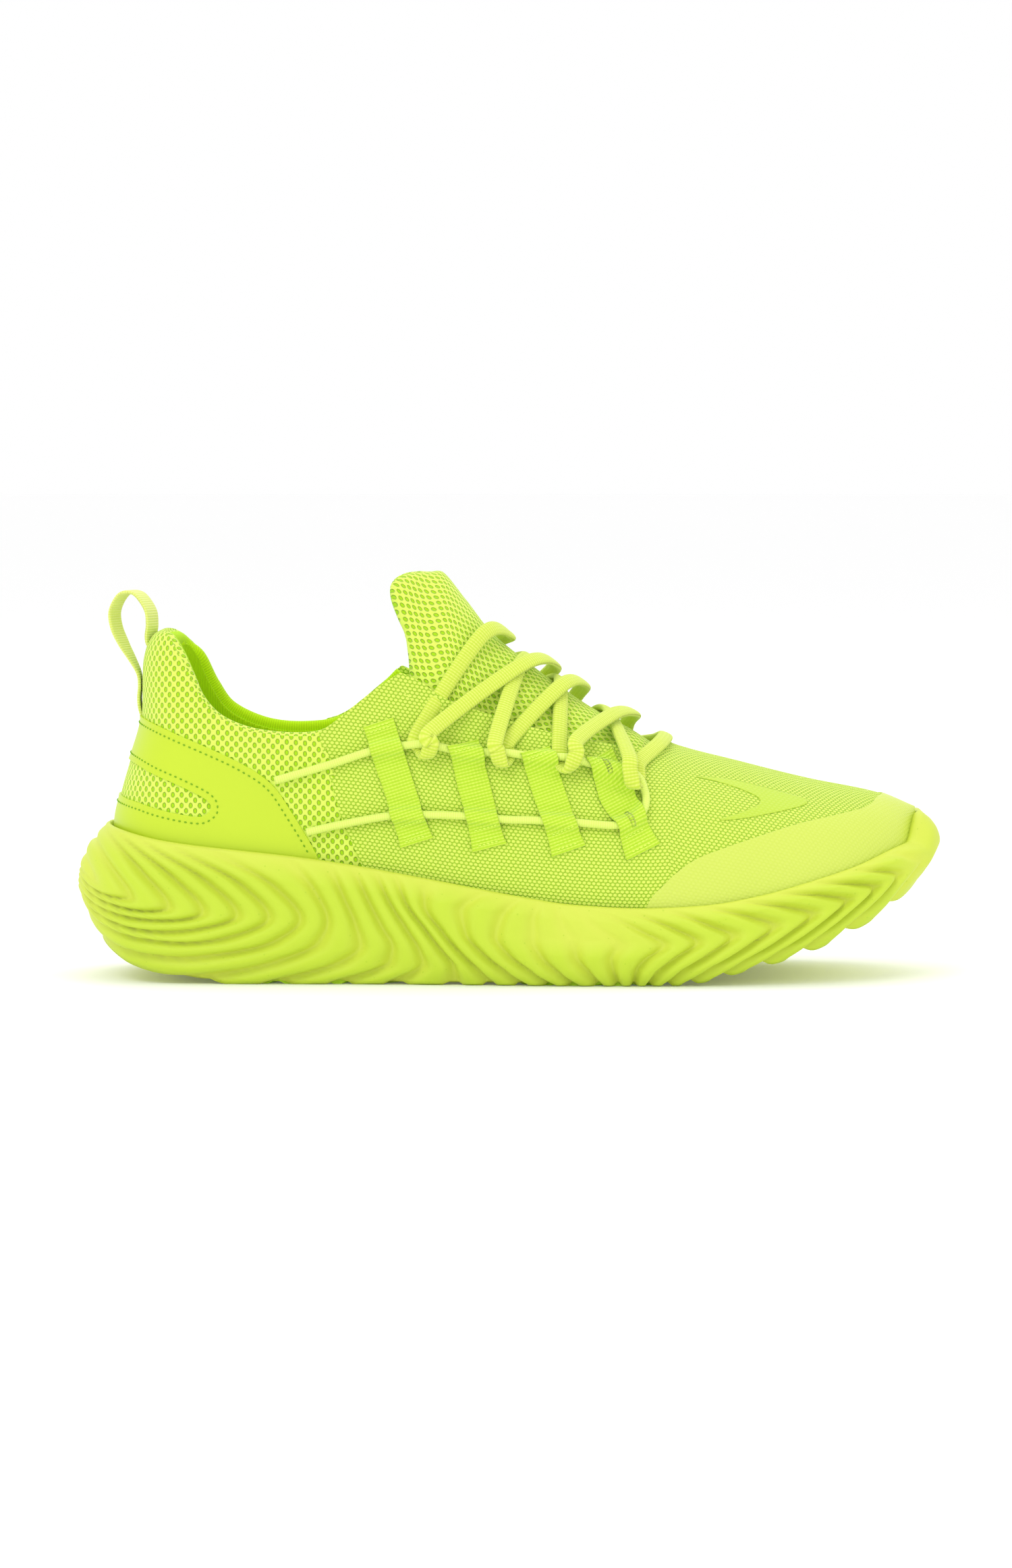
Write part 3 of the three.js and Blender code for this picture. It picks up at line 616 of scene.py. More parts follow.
def smooth_material(name, base, roughness=0.4, grain=600.0, depth=0.05, coat=0.0):
    s = Shader(name, roughness=roughness, specular=0.4)
    s.set("Coat Weight", coat)
    patch = s.noise(30.0, 2.0)
    tint = tuple(min(1.0, c * 1.06) for c in base)
    return s.finish(s.blend(patch, base, tint), s.noise(grain, 4.0), depth, 0.5)


def film_material(name, base_low, base_high, dots):
    """A thin film: the knit below shows through as soft small bumps."""
    s = Shader(name, roughness=0.42, specular=0.45)
    bump = s.lattice(*s.cloth(), KNIT_CELL, FILM_BUMP, 0.7)
    base = s.blend(s.noise(25.0, 2.0), base_low, base_high)
    colour = s.blend(s.math("MULTIPLY", bump, 0.3), base, dots)
    return s.finish(colour, bump, 0.14, 0.6)


def lining_material(name="lining_cloth", base=(0.52, 0.84, 0.004)):
    s = Shader(name, roughness=0.9, specular=0.1, sheen=0.1)
    rib = s.wave(s.cloth()[0], 0.9)
    # A darker tone in the rib valleys: painted shade.
    colour = s.blend(rib, tuple(c * 0.82 for c in base), base)
    return s.finish(colour, s.math("ADD", rib, s.noise(1300.0, 2.0)), 0.12, 0.6)


def rubber_material():
    s = Shader("tread_rubber", roughness=0.7, specular=0.3)
    return s.finish(s.blend(s.noise(40.0, 3.0), (0.42, 0.68, 0.02), (0.50, 0.76, 0.03)),
                    s.noise(1200.0, 3.0), 0.06, 0.6)


def board_material():
    s = Shader("fibre_board", roughness=0.95, specular=0.1)
    return s.finish(s.blend(s.noise(700.0, 4.0), (0.62, 0.6, 0.5), (0.8, 0.78, 0.7)),
                    s.noise(1100.0, 4.0), 0.1, 0.6)


AIR_MESH = air_mesh_material()
KNIT = knit_material()
FOAM = foam_material()
OVERLAY = smooth_material("overlay_pu", (0.53, 0.69, 0.022), 0.42, 500.0, 0.04)
FILM = film_material("toe_film", (0.57, 0.70, 0.075), (0.63, 0.74, 0.10), (0.71, 0.80, 0.16))
CHEVRON_FILM = film_material("chevron_film", (0.47, 0.66, 0.035), (0.51, 0.69, 0.045), (0.66, 0.79, 0.12))
LINING = lining_material()
SOCK = lining_material("sock_cloth", (0.42, 0.70, 0.01))
LACE = rib_material("lace_weave", 1.05, (0.76, 0.84, 0.15), (0.56, 0.72, 0.05), 0.22, 1.3)
WEBBING = rib_material("webbing", 1.1, (0.70, 0.88, 0.10), (0.46, 0.72, 0.02), 0.3, 1.2)
LOOP_WEBBING = rib_material("loop_webbing", 0.9, (0.80, 0.86, 0.28), (0.70, 0.79, 0.14), 0.15, 1.0)
CORD = rib_material("cord_cover", 0.8, (0.76, 0.88, 0.20), (0.68, 0.83, 0.13), 0.06, 0.8, 0.55)
THREAD = smooth_material("thread", (0.18, 0.40, 0.003), 0.6)
TACK = smooth_material("tack_thread", (0.72, 0.95, 0.12), 0.5)
RUBBER = rubber_material()
BOARD = board_material()
TIP = smooth_material("aglet_plastic", (0.70, 0.92, 0.12), 0.2, 300.0, 0.02, 0.3)


def dress(obj, material):
    obj.data.materials.clear()
    obj.data.materials.append(material)
    return obj


def piece(obj, material, body="shoe", replaces=()):
    """Finishes a piece: its material, what it stands for and the body it rides on."""
    dress(obj, material)
    if replaces:
        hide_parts(*replaces)
    if body:
        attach(obj, body)
    return obj


# ---- Side-view lines of the upper ----
def outline(points, count):
    return spline(points, count).tolist()


COLLAR_LATERAL = outline([(26, 124.2), (32.3, 123.7), (37.5, 116), (41.4, 109.2), (45.7, 100.8),
                          (52, 94.1), (62.6, 89.5), (76.6, 87.6), (87, 88.4), (94.2, 93.4),
                          (104.5, 101.6), (113.9, 108.1)], 60)
COLLAR_MEDIAL = outline([(26, 124.2), (33.7, 123.2), (42.8, 114.9), (48.2, 104.5), (54.2, 96), (66, 90.3),
                         (80.2, 88.9), (92.8, 91.5), (106.1, 101.8), (113.9, 108.7)], 60)
THROAT = outline([(115.2, 108.2), (122.7, 104.6), (130, 99.5), (148, 93), (166, 87.5), (182, 84),
                  (195, 81.8), (204, 81.5), (210, 86)], 40)
TONGUE_OUTLINE = outline([(118.5, 97), (118.4, 108), (117.8, 121), (115.6, 129), (113.6, 136.5),
                          (114.2, 141.2), (117.6, 144.4), (123, 146.2), (130, 148.5), (160, 162)], 60)
TONGUE_OUTLINE += [(230, 160), (217, 100), (215, 71), (184, 74), (166, 78), (148, 84), (130, 93)]
SEAM = [(86.3, 87.3), (88.9, 76.1), (94.1, 57.9), (101.1, 41.8), (110, 15)]


def below_opening(collar):
    """The outline of all that lies below the foot opening, closed far outside the shoe."""
    return [(-40, 124)] + collar + THROAT + [(212, 200), (400, 200), (400, -50), (-40, -50)]


X, Z = SKIN[..., 0], SKIN[..., 2]
OPEN_LATERAL = distance_inside(below_opening(COLLAR_LATERAL), X, Z)
OPEN_MEDIAL = distance_inside(below_opening(COLLAR_MEDIAL), X, Z)
BELOW_OPENING = np.where(SKIN_SIDE < 0, OPEN_LATERAL, OPEN_MEDIAL)
ABOVE_SOLE = Z - (sole_top(X) - 6.0)
BEHIND_SEAM = distance_inside([(-60, -50)] + [(110, -50)] + SEAM[::-1] + [(85, 200), (-60, 200)], X, Z)
NOT_TIP = TOE_END - 0.05 - X

OVERLAY_EDGE = outline([(-20, 96), (10, 95), (22.8, 92.3), (45, 83.2), (59, 76.8), (69.6, 69.8),
                        (76.6, 60), (85.8, 44.2), (90, 30)], 50)
WINDOW = outline([(-20, 79.5), (5, 78.6), (18.2, 77.1), (28.7, 72.7), (36.3, 69.6), (44, 66),
                  (47.8, 63.5), (48.8, 60.8), (47, 59), (44, 58.2), (36.3, 59.3), (28.7, 61),
                  (21, 63.1), (5, 66), (-20, 67)], 70)
overlay_in = distance_inside(OVERLAY_EDGE + [(90, -60), (-20, -60)], X, Z)
window_out = -distance_inside(WINDOW, X, Z)


# ---- Upper: mesh quarter, knit vamp and their linings ----
ROLL = 3.4  # radius of the padded collar edge
OVERLAY_OUT = 0.4  # the overlay's outer face over the skin
MESH_THICK, KNIT_THICK, HEEL_LINING_THICK, VAMP_LINING_THICK = 1.8, 1.6, 0.9, 0.7
HEEL_LINING_DEPTH, VAMP_LINING_DEPTH = 6.6, 2.4  # how far the linings lie inside the skin
SWELL, SWELL_AT, SWELL_SPREAD = 0.8, 12, 9  # of the quarter by the padding, below the collar's edge


def swell(below):
    """How strongly the collar's padding swells the quarter at a distance below its edge."""
    return np.exp(-((below - SWELL_AT) / SWELL_SPREAD) ** 2)


quarter_swell = SWELL * swell(BELOW_OPENING)
# A panel lies where its field is positive; the numbers in it are margins in millimetres.
quarter_field = np.minimum.reduce([BELOW_OPENING - 1.2, ABOVE_SOLE, BEHIND_SEAM + 1.5])
# The mesh is pressed in under the overlay.
pressed = 0.45 * np.clip(np.minimum(overlay_in, window_out) / 1.5, 0, 1)
heel_quarter = skin_panel("heel_quarter_mesh", quarter_field, quarter_swell - 0.2 - pressed,
                          MESH_THICK, 0.4)
piece(heel_quarter, AIR_MESH, replaces=["heel_quarter"])

vamp_field = np.minimum.reduce([BELOW_OPENING, ABOVE_SOLE, -BEHIND_SEAM, NOT_TIP])
# The knit's edge is folded to a thicker hem at the opening and at the seam.
hem = 0.7 * np.exp(-(np.minimum(BELOW_OPENING, 60) / 2.4) ** 2)
hem = np.maximum(hem, 0.5 * np.exp(-(np.minimum(np.abs(BEHIND_SEAM), 60) / 2.2) ** 2))
vamp = skin_panel("vamp_knit", vamp_field, hem, KNIT_THICK, 0.5)
piece(vamp, KNIT, replaces=["vamp"])

above_footbed = Z - footbed(X) - 4
lining_field = np.minimum.reduce([BELOW_OPENING - 3.0, above_footbed, BEHIND_SEAM + 2])
heel_lining = skin_panel("ankle_lining", lining_field, -HEEL_LINING_DEPTH, HEEL_LINING_THICK)
piece(heel_lining, LINING, replaces=["heel_lining"])
off_tongue = -distance_inside(TONGUE_OUTLINE, X, Z) - 0.8
front_field = np.minimum.reduce([BELOW_OPENING - 1.8, above_footbed, -BEHIND_SEAM + 1, NOT_TIP, off_tongue])
front_lining = skin_panel("vamp_lining_cloth", front_field, -VAMP_LINING_DEPTH, VAMP_LINING_THICK)
piece(front_lining, LINING, replaces=["vamp_lining"])


# ---- The padded collar: a foam roll from throat to throat round the ankle ----
def collar_rows():
    """Points and outward normals along the opening: lateral throat, heel, medial throat."""
    lateral = [(122.0, 100.5), (117.5, 105.0), (113.0, 106.6), (104.5, 101.2), (94.2, 93.0),
               (87, 88.2), (76.6, 87.3), (62.6, 89.0), (52, 93.4), (45.7, 100.0), (41.0, 108.5),
               (37.0, 115.4), (32.5, 121.6)]
    medial = [(33.0, 121.6), (37.4, 117.6), (42.4, 113.7), (47.8, 103.7), (53.8, 95.5), (66, 89.8),
              (80.2, 88.5), (92.8, 90.9), (106.1, 101.3), (113.0, 107.8)]
    heel_z = 117.4
    heel = [float(heel_back(heel_z)) + ROLL + 1.4, 0.0, heel_z, -1.0, 0.0, 0.3]
    near = carried([(x, z, -ROLL) for x, z in shift_line(lateral, ROLL)], -1)
    far = carried([(x, z, -ROLL) for x, z in shift_line(medial, -ROLL)], 1)
    return np.vstack([near, heel, far])


ROLL_SECTION = np.roll(oval(2 * ROLL + 1.2, 2 * ROLL, 28, 2.3), 7, axis=0)  # starts facing inwards
collar = sweep_rows("collar_roll", collar_rows(), 260, ROLL_SECTION)
piece(collar, AIR_MESH, replaces=["collar_padding"])
collar.data.materials.append(LINING)
collar.data.materials.append(KNIT)
seam_x = float(to_frame((86.5, 0, 0))[0])
for k, polygon in enumerate(collar.data.polygons):
    inside = ROLL_SECTION[k % len(ROLL_SECTION)][1] < -0.9
    polygon.material_index = 1 if inside else 2 if polygon.center.x > seam_x else 0


# ---- Overlays ----
OVERLAY_THICK, TOE_FILM_THICK, CHEVRON_THICK = 0.85, 0.42, 0.3
overlay_field = np.minimum.reduce([overlay_in, window_out, ABOVE_SOLE])
edge_lip = 0.18 * np.exp(-(np.minimum(overlay_in, window_out) / 0.9) ** 2)
heel_overlay = skin_panel("heel_overlay_pu", overlay_field, OVERLAY_OUT + edge_lip + quarter_swell,
                          OVERLAY_THICK, 0.3)
piece(heel_overlay, OVERLAY, replaces=["heel_overlay"])

TOE_EDGE = outline([(300, 66), (284, 63.5), (279.2, 60.4), (267.3, 57.9), (251.4, 54.8), (227.5, 47.6),
                    (215.5, 42.8), (206, 34.9), (200.4, 27.7), (197, 10)], 50)
toe_in = distance_inside([(400, 66)] + TOE_EDGE + [(400, 10)], X, Z)
toe_field = np.minimum.reduce([toe_in, ABOVE_SOLE, NOT_TIP])
toe_film = skin_panel("toe_film", toe_field, TOE_FILM_THICK, TOE_FILM_THICK)
piece(toe_film, FILM, replaces=["toe_overlay"])

CHEVRON = outline([(217.9, 71.5), (227.5, 70.7), (237.5, 68.7), (248.2, 65.9), (256.2, 63.6),
                   (257.6, 62.5), (255.4, 61.3), (243.4, 58.9), (232.3, 57.3), (225.1, 57.1),
                   (231.8, 58.9), (238.2, 61.2), (240.6, 63.1), (239.0, 64.9), (231.8, 67.9),
                   (224.0, 70.2)], 90)
chevron_in = distance_inside(CHEVRON, X, Z)
for side, label in ((-1, "lateral"), (1, "medial")):
    chevron_field = np.where(SKIN_SIDE == side, chevron_in, -1.0)
    chevron = skin_panel(f"chevron_film_{label}", chevron_field, CHEVRON_THICK, CHEVRON_THICK)
    piece(chevron, CHEVRON_FILM, replaces=[f"chevron_{label}"])


# ---- Sole: one moulded foam shell with flowing ridges ----
RIDGE_LEVELS = (0, 0.15, 0.3, 0.5, 0.75, 1)
# Where each ridge's crest passes: x at those shares of the wall's height.
RIDGES = [
    (-170, -120, -75, -12, -18, -22), (-140, -98, -48, 6, -2, -10), (-122, -80, -28, 20, 10, 0),
    (-105, -62, -8, 34, 24, 8), (-90, -42, 12, 46, 35, 14),
    (-72, -22, 33, 58, 47, 22), (-45, 8, 53, 69, 59, 33), (-5, 48, 71, 80, 71, 48),
    (45, 74, 86, 89.5, 85, 76), (72, 95, 101, 99, 94.5, 90), (94, 111, 112, 108, 103, 98.5),
    (113, 122.5, 121, 116.5, 110.5, 106), (134, 133, 129, 123.5, 116.5, 113),
    (146, 140, 135, 129, 123, 123), (157, 149, 143, 137.5, 136, 144), (167, 158, 152, 148, 150, 156),
    (175, 167.5, 163.5, 161, 161, 163), (184, 179, 176, 175, 171, 169),
    (190.5, 188.5, 188, 190, 182, 175), (196, 197, 200, 206, 196, 182),
    (201, 205, 210.5, 217.5, 208.5, 193), (207, 214, 222, 230, 221, 208),
    (214.5, 225, 235.5, 244.5, 236, 222), (225, 237, 248, 258, 249, 234),
    (238.5, 249, 260, 270.5, 262, 247), (253, 261.5, 271, 280.5, 273, 260),
    (268, 274, 282, 289, 283, 274), (284, 289, 293, 298, 294, 288), (302, 304, 306, 308, 306, 303),
    (322, 322, 322, 322, 322, 322),
]
RIDGE_LINES = [curve(list(zip(RIDGE_LEVELS, row))) for row in RIDGES]
RIDGE_HEIGHT, LUG_DROP, TOE_LIP = 3.8, 1.9, 9.0
WAVE_INSIDE = 0.62  # the share of a ridge's wave that lies inside the plain wall
LIP_START, LIP_RUN = 0.915, 0.075  # where the toe lip rises, as shares of the toe fan's length
WALL_GAP, TOE_GAP, TIP_GAP = 1.3, 0.8, 0.35  # from the skin to the inside of the sole's rim
FLOOR_DROP = 0.4  # from the footbed down to the sole's floor
# Each column of the sole's outside runs out across the underside, then up the wall.
ACROSS = np.array([0, 0.2, 0.4, 0.6, 0.8, 0.885, 0.91, 0.95])
WALL = np.linspace(0, 1, 56)
SOLE_LEVELS = np.concatenate([np.zeros(len(ACROSS)), WALL])
SOLE_SPREAD = np.concatenate([ACROSS, np.ones(len(WALL))])


def ridge_wave(x, levels):
    """0 in the valleys and 1 on the crests of the sole's ridges, for columns of x at the given levels."""
    phase = np.empty_like(x)
    for k, level in enumerate(levels):
        places = [float(line(level)) for line in RIDGE_LINES]
        phase[:, k] = np.interp(x[:, k], places, np.arange(len(places)))
    turn = 2 * math.pi * phase
    return 0.5 + 0.5 * np.cos(turn + 0.6 * np.sin(turn))


def ridge_fade(x, level):
    """How strong the ridges are: weaker at the rim, the two ends and the plain band amidships."""
    plain = np.exp(-((x - 180) / 24) ** 2) * np.clip((level - 0.35) / 0.2, 0, 1)
    rim = np.clip((1.0 - level) / 0.2, 0, 1)
    ends = np.clip((x + 2) / 22, 0.15, 1) * np.clip((300 - x) / 16, 0.25, 1)
    return rim * ends * (1 - 0.8 * plain)


def sole_column(end, at, side):
    """One column of the sole: across its underside, up the wall, over the rim and down to the floor."""
    along, factor = fan(at) if end != "body" else (0.0, 1.0)
    inner = np.linspace(1, 0, 7)
    if end == "heel":
        x_out = HEEL_X - (HEEL_X - sole_heel_x(SOLE_LEVELS)) * along
    elif end == "toe":
        x_out = TOE_X + (sole_toe_x(SOLE_LEVELS) - TOE_X) * along
    else:
        x_out = np.full(len(SOLE_LEVELS), at)
    rise_share = min(max((along - LIP_START) / LIP_RUN, 0), 1) if end == "toe" else 0.0
    toe_rise = TOE_LIP * rise_share ** 2 * (3 - 2 * rise_share)
    top, low = sole_top(x_out) + toe_rise, sole_bottom(x_out)
    width = (sole_lateral(x_out) if side < 0 else sole_medial(x_out)) * sole_bulge(SOLE_LEVELS) * factor
    outer = np.stack([x_out, centre_line(x_out) + side * width * SOLE_SPREAD,
                      low + (top - low) * SOLE_LEVELS], 1)
    floor_z = float(footbed(x_out[-1])) - FLOOR_DROP
    z = floor_z + (float(top[-1]) - floor_z) * inner
    z_skin = np.maximum(z, floor_z + 0.5)
    if end == "heel":
        x_in = HEEL_X - (HEEL_X - heel_back(z_skin) + WALL_GAP) * along
    elif end == "toe":
        x_in = np.full(len(z), TOE_X + (TOE_END + TIP_GAP - TOE_X) * along)
    else:
        x_in = np.full(len(z), float(at))
    station = np.maximum(x_in, HEEL_X)
    rise = np.clip((z_skin - footbed(station)) / (crest(station) - footbed(station)), 0, 0.9999)
    margin = TOE_GAP if end == "toe" else WALL_GAP
    y_in = centre_line(x_in) + side * (base_width(station, side) * section_share(rise) + margin) * factor
    wall_in = np.stack([x_in, y_in, z], 1)
    lip = (outer[-1] + wall_in[0]) / 2 + np.array([0, 0, 0.5 + 0.9 * rise_share])
    base = wall_in[-1]
    centre = np.array([base[0], float(centre_line(base[0])), floor_z])
    floor = np.linspace(1, 0, 5)[1:]
    return np.vstack([outer, lip[None], wall_in, centre + (base - centre) * floor[:, None]])


def add_ridges(grid, outward):
    """Presses ridges and lugs into one side of the sole; returns how deep in the grooves each point lies, for
    the painted shade in the foam's colour.
    """
    wall_count = len(SOLE_LEVELS)
    wall = grid[:, :wall_count]
    level_grid = np.broadcast_to(SOLE_LEVELS, wall.shape[:2])
    x_wall = wall[..., 0].copy()
    wave = ridge_wave(x_wall, SOLE_LEVELS)
    fade = ridge_fade(x_wall, level_grid) * np.clip((SOLE_SPREAD - 0.9) / 0.1, 0, 1) ** 2
    # How deep in the grooves each point lies: the strength of the painted shade there.
    groove_shade = np.zeros(grid.shape[:2])
    groove_shade[:, :wall_count] = fade * (1 - wave) ** 1.5
    wall += grid_normals(wall) * outward * (RIDGE_HEIGHT * fade * (wave - WAVE_INSIDE))[..., None]
    flat = np.clip((x_wall - 20) / 25, 0, 1) * np.clip((234 - x_wall) / 16, 0, 1)
    rim = np.clip((SOLE_SPREAD - 0.885) / 0.065, 0, 1) * np.clip(1 - level_grid / 0.15, 0, 1)
    wall[..., 2] -= LUG_DROP * flat * rim * (0.35 + 0.65 * wave)
    wall[..., 2] = np.maximum(wall[..., 2], 0.05)
    return groove_shade


def sole_visual():
    turns = [("heel", a) for a in np.linspace(0.0, math.pi / 2, 96, endpoint=False)]
    turns += [("body", x) for x in np.linspace(HEEL_X, TOE_X, 330, endpoint=False)]
    turns += [("toe", a) for a in np.linspace(math.pi / 2, 0.0, 100)]
    lateral, medial = (np.array([sole_column(end, at, side) for end, at in turns]) for side in (-1, 1))
    grooves = [add_ridges(lateral, -1), add_ridges(medial, 1)[:, ::-1]]
    rings = np.concatenate([lateral, medial[:, ::-1]], axis=1)
    depth = np.concatenate(grooves, axis=1).ravel()
    # The cloth coordinates of the sole carry how deep in the grooves each point lies, which the foam's colour
    # turns into painted shade.
    faces = band_faces(*rings.shape[:2], (0, 3, 2, 1))
    return weld(make("midsole_foam", rings.reshape(-1, 3), faces, np.stack([depth, depth], 1)), 0.02)


midsole = sole_visual()
piece(midsole, FOAM, replaces=["midsole"])
TREAD_THICK, TREAD_GROOVE, TREAD_PITCH = 2.0, 1.1, 8.5


def tread(name, x_start, x_end, share):
    """A flat rubber pad with waved grooves in its underside."""
    rings, around = 36, 144
    middle, half = (x_start + x_end) / 2, (x_end - x_start) / 2
    turns = np.linspace(0, 2 * math.pi, around, endpoint=False)
    cx, cy = (np.sign(c) * np.abs(c) ** 0.6 for c in (np.cos(turns), np.sin(turns)))
    under = np.linspace(0, 1, rings)
    points = []
    for z_side, shares in (("under", under), ("top", under[::-1])):
        for r in shares:
            x = middle + half * cx * r
            width = np.where(cy < 0, sole_lateral(x), sole_medial(x)) * share
            y = centre_line(x) + width * cy * r
            wave = 0.5 + 0.5 * np.cos(2 * math.pi * (x + 5 * np.cos(y / 9)) / TREAD_PITCH)
            grooved = np.clip((wave - 0.72) / 0.12, 0, 1) * TREAD_GROOVE
            z = grooved if z_side == "under" else np.full(around, TREAD_THICK)
            points.append(np.stack([x, y, z], 1))
    faces = band_faces(len(points), around, (1, 2, 3, 0))
    return weld(make(name, np.vstack(points), faces, smooth=False), 0.01)


piece(tread("heel_tread", 46, 120, 0.86), RUBBER, replaces=["outsole_heel"])
piece(tread("forefoot_tread", 146, 216, 0.86), RUBBER, replaces=["outsole_forefoot"])


# ---- Insole: a moulded foam sock liner ----
def insole_visual():
    inset, back, half_width, across = 8.8, 13, 38, 40
    s = np.linspace(-1, 1, across)
    edge = np.sqrt(np.clip(1 - np.abs(s) ** 14, 0, 1))
    rings = []
    length = TOE_END - back
    for row in skin_grid(ring=3, heel=24, body=70, toe=24):
        left, right = row[0], row[-1]
        middle, half = (left + right) / 2, max(abs(right[1] - left[1]) / 2, 0.01)
        x = back + length / 2 + (middle[0] - back - length / 2) * (1 - 2 * inset / length)
        y = middle[1] + s * half * (1 - inset / half_width)
        cup = 2.2 * np.abs(s) ** 4 * (1 - min(max((x - 90) / 60, 0), 1))
        base = np.full(across, float(footbed(x)) + 2.1)
        top = np.stack([np.full(across, x), y, base + 4.2 * edge + cup], 1)
        low = np.stack([np.full(across, x), y, base], 1)
        rings.append(np.vstack([top, low[::-1]]))
    rings = np.array(rings)
    n, m = rings.shape[:2]
    uvs = rings[..., :2].reshape(-1, 2)
    return weld(make("insole_foam", rings.reshape(-1, 3), band_faces(n, m) + end_caps(n, m), uvs), 0.005)


insole = insole_visual()
piece(insole, SOCK, replaces=["insole"])


# ---- Tongue: one padded piece across the fold ----
TONGUE_DEPTH, TONGUE_THICK, TONGUE_EDGE = 2.6, 7.5, 4.2


def tongue_visual():
    field = distance_inside(TONGUE_OUTLINE, X, Z)
    free = np.clip((Z - (111 - (X - 113) * 0.15)) / 14, 0, 1)
    reach = np.clip(field / TONGUE_EDGE, 0, 1)
    round_edge = np.sqrt(1 - (1 - reach) ** 2)
    crown = 0.8 * free * np.clip(field / 18, 0, 1)
    outer_depth = TONGUE_DEPTH + TONGUE_THICK / 2 * (1 - round_edge) - crown
    inner_depth = TONGUE_DEPTH + TONGUE_THICK / 2 * (1 + round_edge)
    top, faces, uvs = clip_grid(SKIN - SKIN_N * outer_depth[..., None], field, TONGUE_UV)
    low, low_faces, _ = clip_grid(SKIN - SKIN_N * inner_depth[..., None], field, TONGUE_UV)
    count = len(top)
    used = dict.fromkeys((a, b) for face in faces for a, b in zip(face, face[1:] + face[:1]))
    walls = [(b, a, a + count, b + count) for a, b in used if (b, a) not in used]
    low_faces = [[i + count for i in face[::-1]] for face in low_faces]
    obj = make("tongue_pad", np.vstack([top, low]), faces + walls + low_faces, np.vstack([uvs, uvs]))
    inner_index = [0] * (len(faces) + len(walls)) + [1] * len(low_faces)
    dress(obj, AIR_MESH)
    obj.data.materials.append(LINING)
    obj.data.polygons.foreach_set("material_index", inner_index)
    return obj


tongue = tongue_visual()
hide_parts("tongue_base", "tongue_flap")
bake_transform(tongue)


# ---- Side cords and straps ----
CORD_RADIUS, LACE_HALF, GAP = 1.4, 1.4, 0.3
ON_SKIN = CORD_RADIUS + GAP
UNDER_OVERLAY = CORD_RADIUS + 1.4
LIFTED = ON_SKIN + 2 * LACE_HALF + GAP
CORD_ROUTE = [(71, 70.8, UNDER_OVERLAY), (89.3, 76.2, ON_SKIN), (104.1, 81, ON_SKIN),
              (114, 82.8, ON_SKIN), (124, 83.2, LIFTED), (137, 80.8, ON_SKIN), (150, 79.8, LIFTED),
              (162.5, 78.6, ON_SKIN), (172.5, 77.2, LIFTED), (184, 75, ON_SKIN), (195, 71, LIFTED),
              (199.6, 66, ON_SKIN), (199.2, 60.5, ON_SKIN), (195, 56.5, ON_SKIN),
              (189, 55.3, ON_SKIN), (176.9, 56.3, ON_SKIN), (163.5, 57.2, ON_SKIN),
              (150.5, 57.6, ON_SKIN), (137.4, 58.8, ON_SKIN), (123.8, 59.2, ON_SKIN),
              (110.8, 58.7, ON_SKIN), (94.2, 55.7, ON_SKIN), (82, 53, UNDER_OVERLAY)]
STRAP_LINES = [((107, 91.2), (120.5, 49.3)), ((136.6, 84), (145.9, 47.8)),
               ((161.6, 81), (173.4, 46.9)), ((183.6, 79), (199.4, 46.6))]
STRAP_WIDTH, STRAP_THICK, STRAP_LOFT = 11.0, 0.75, 0.55
TWISTED = 3  # the foremost strap, which buckles most


def side_cord(side, label):
    section = oval(2 * CORD_RADIUS, 2 * CORD_RADIUS, 14)
    cord = sweep_rows(f"cord_{label}", carried(CORD_ROUTE, side), 300, section)
    piece(cord, CORD, replaces=[f"side_cord_{label}"])


def strap_axes(line):
    """A strap's top end in the side view, its length, and its directions along and across."""
    top, foot = np.array(line[0]), np.array(line[1])
    length = np.linalg.norm(foot - top)
    along = (foot - top) / length
    return top, length, along, np.array([-along[1], along[0]])


def strap_height(x, z):
    """The strap's outer face over the skin: low on the knit, bulging over the cord."""
    route = spline(CORD_ROUTE, 400)
    gap = np.hypot(x[..., None] - route[:, 0], z[..., None] - route[:, 1])
    over = route[:, 2] + CORD_RADIUS + STRAP_LOFT - STRAP_THICK
    bump = (over * np.exp(-(gap / 2.7) ** 4)).max(axis=-1)
    return STRAP_THICK + bump - 0.25 * np.exp(-((gap.min(axis=-1) - 4.6) / 1.2) ** 2)


def strap(line, side, label, index):
    """A webbing strap, flared at its foot, buckled along one edge and ribbed both ways."""
    top, length, along, across = strap_axes(line)
    s = np.linspace(0, length, 130)
    w = np.linspace(-0.5, 0.5, 34)
    flare = 1 + 0.12 * np.clip(1 - (length - s) / 7, 0, 1) ** 2
    buckle = (0.7 if index == TWISTED else 0.15) * np.sin(s / 3.1)
    offset = w[None, :] * (STRAP_WIDTH * flare)[:, None] + buckle[:, None] * (w[None, :] < 0)
    place = top + along * s[:, None, None] + across * offset[..., None]
    x, z = place[..., 0], place[..., 1]
    ribs = 0.05 * np.cos(2 * math.pi * s / 0.95)[:, None]
    ribs = ribs + 0.05 * np.cos(2 * math.pi * w * STRAP_WIDTH / 1.3)[None, :]
    selvage = 0.22 * (np.abs(w) > 0.44)[None, :]
    points, _ = from_sides(x, z, side, strap_height(x, z) + ribs + selvage)
    faces = band_faces(len(s), len(w), (0, 3, 2, 1) if side < 0 else (1, 2, 3, 0), closed=False)
    uvs = np.stack(np.broadcast_arrays(s[:, None], (w * STRAP_WIDTH)[None, :]), axis=-1)
    obj = make(f"webbing_{label}_{index + 1}", points.reshape(-1, 3), faces, uvs.reshape(-1, 2))
    thicken(obj, STRAP_THICK)
    piece(obj, WEBBING, replaces=[f"strap_{label}_{index + 1}"])


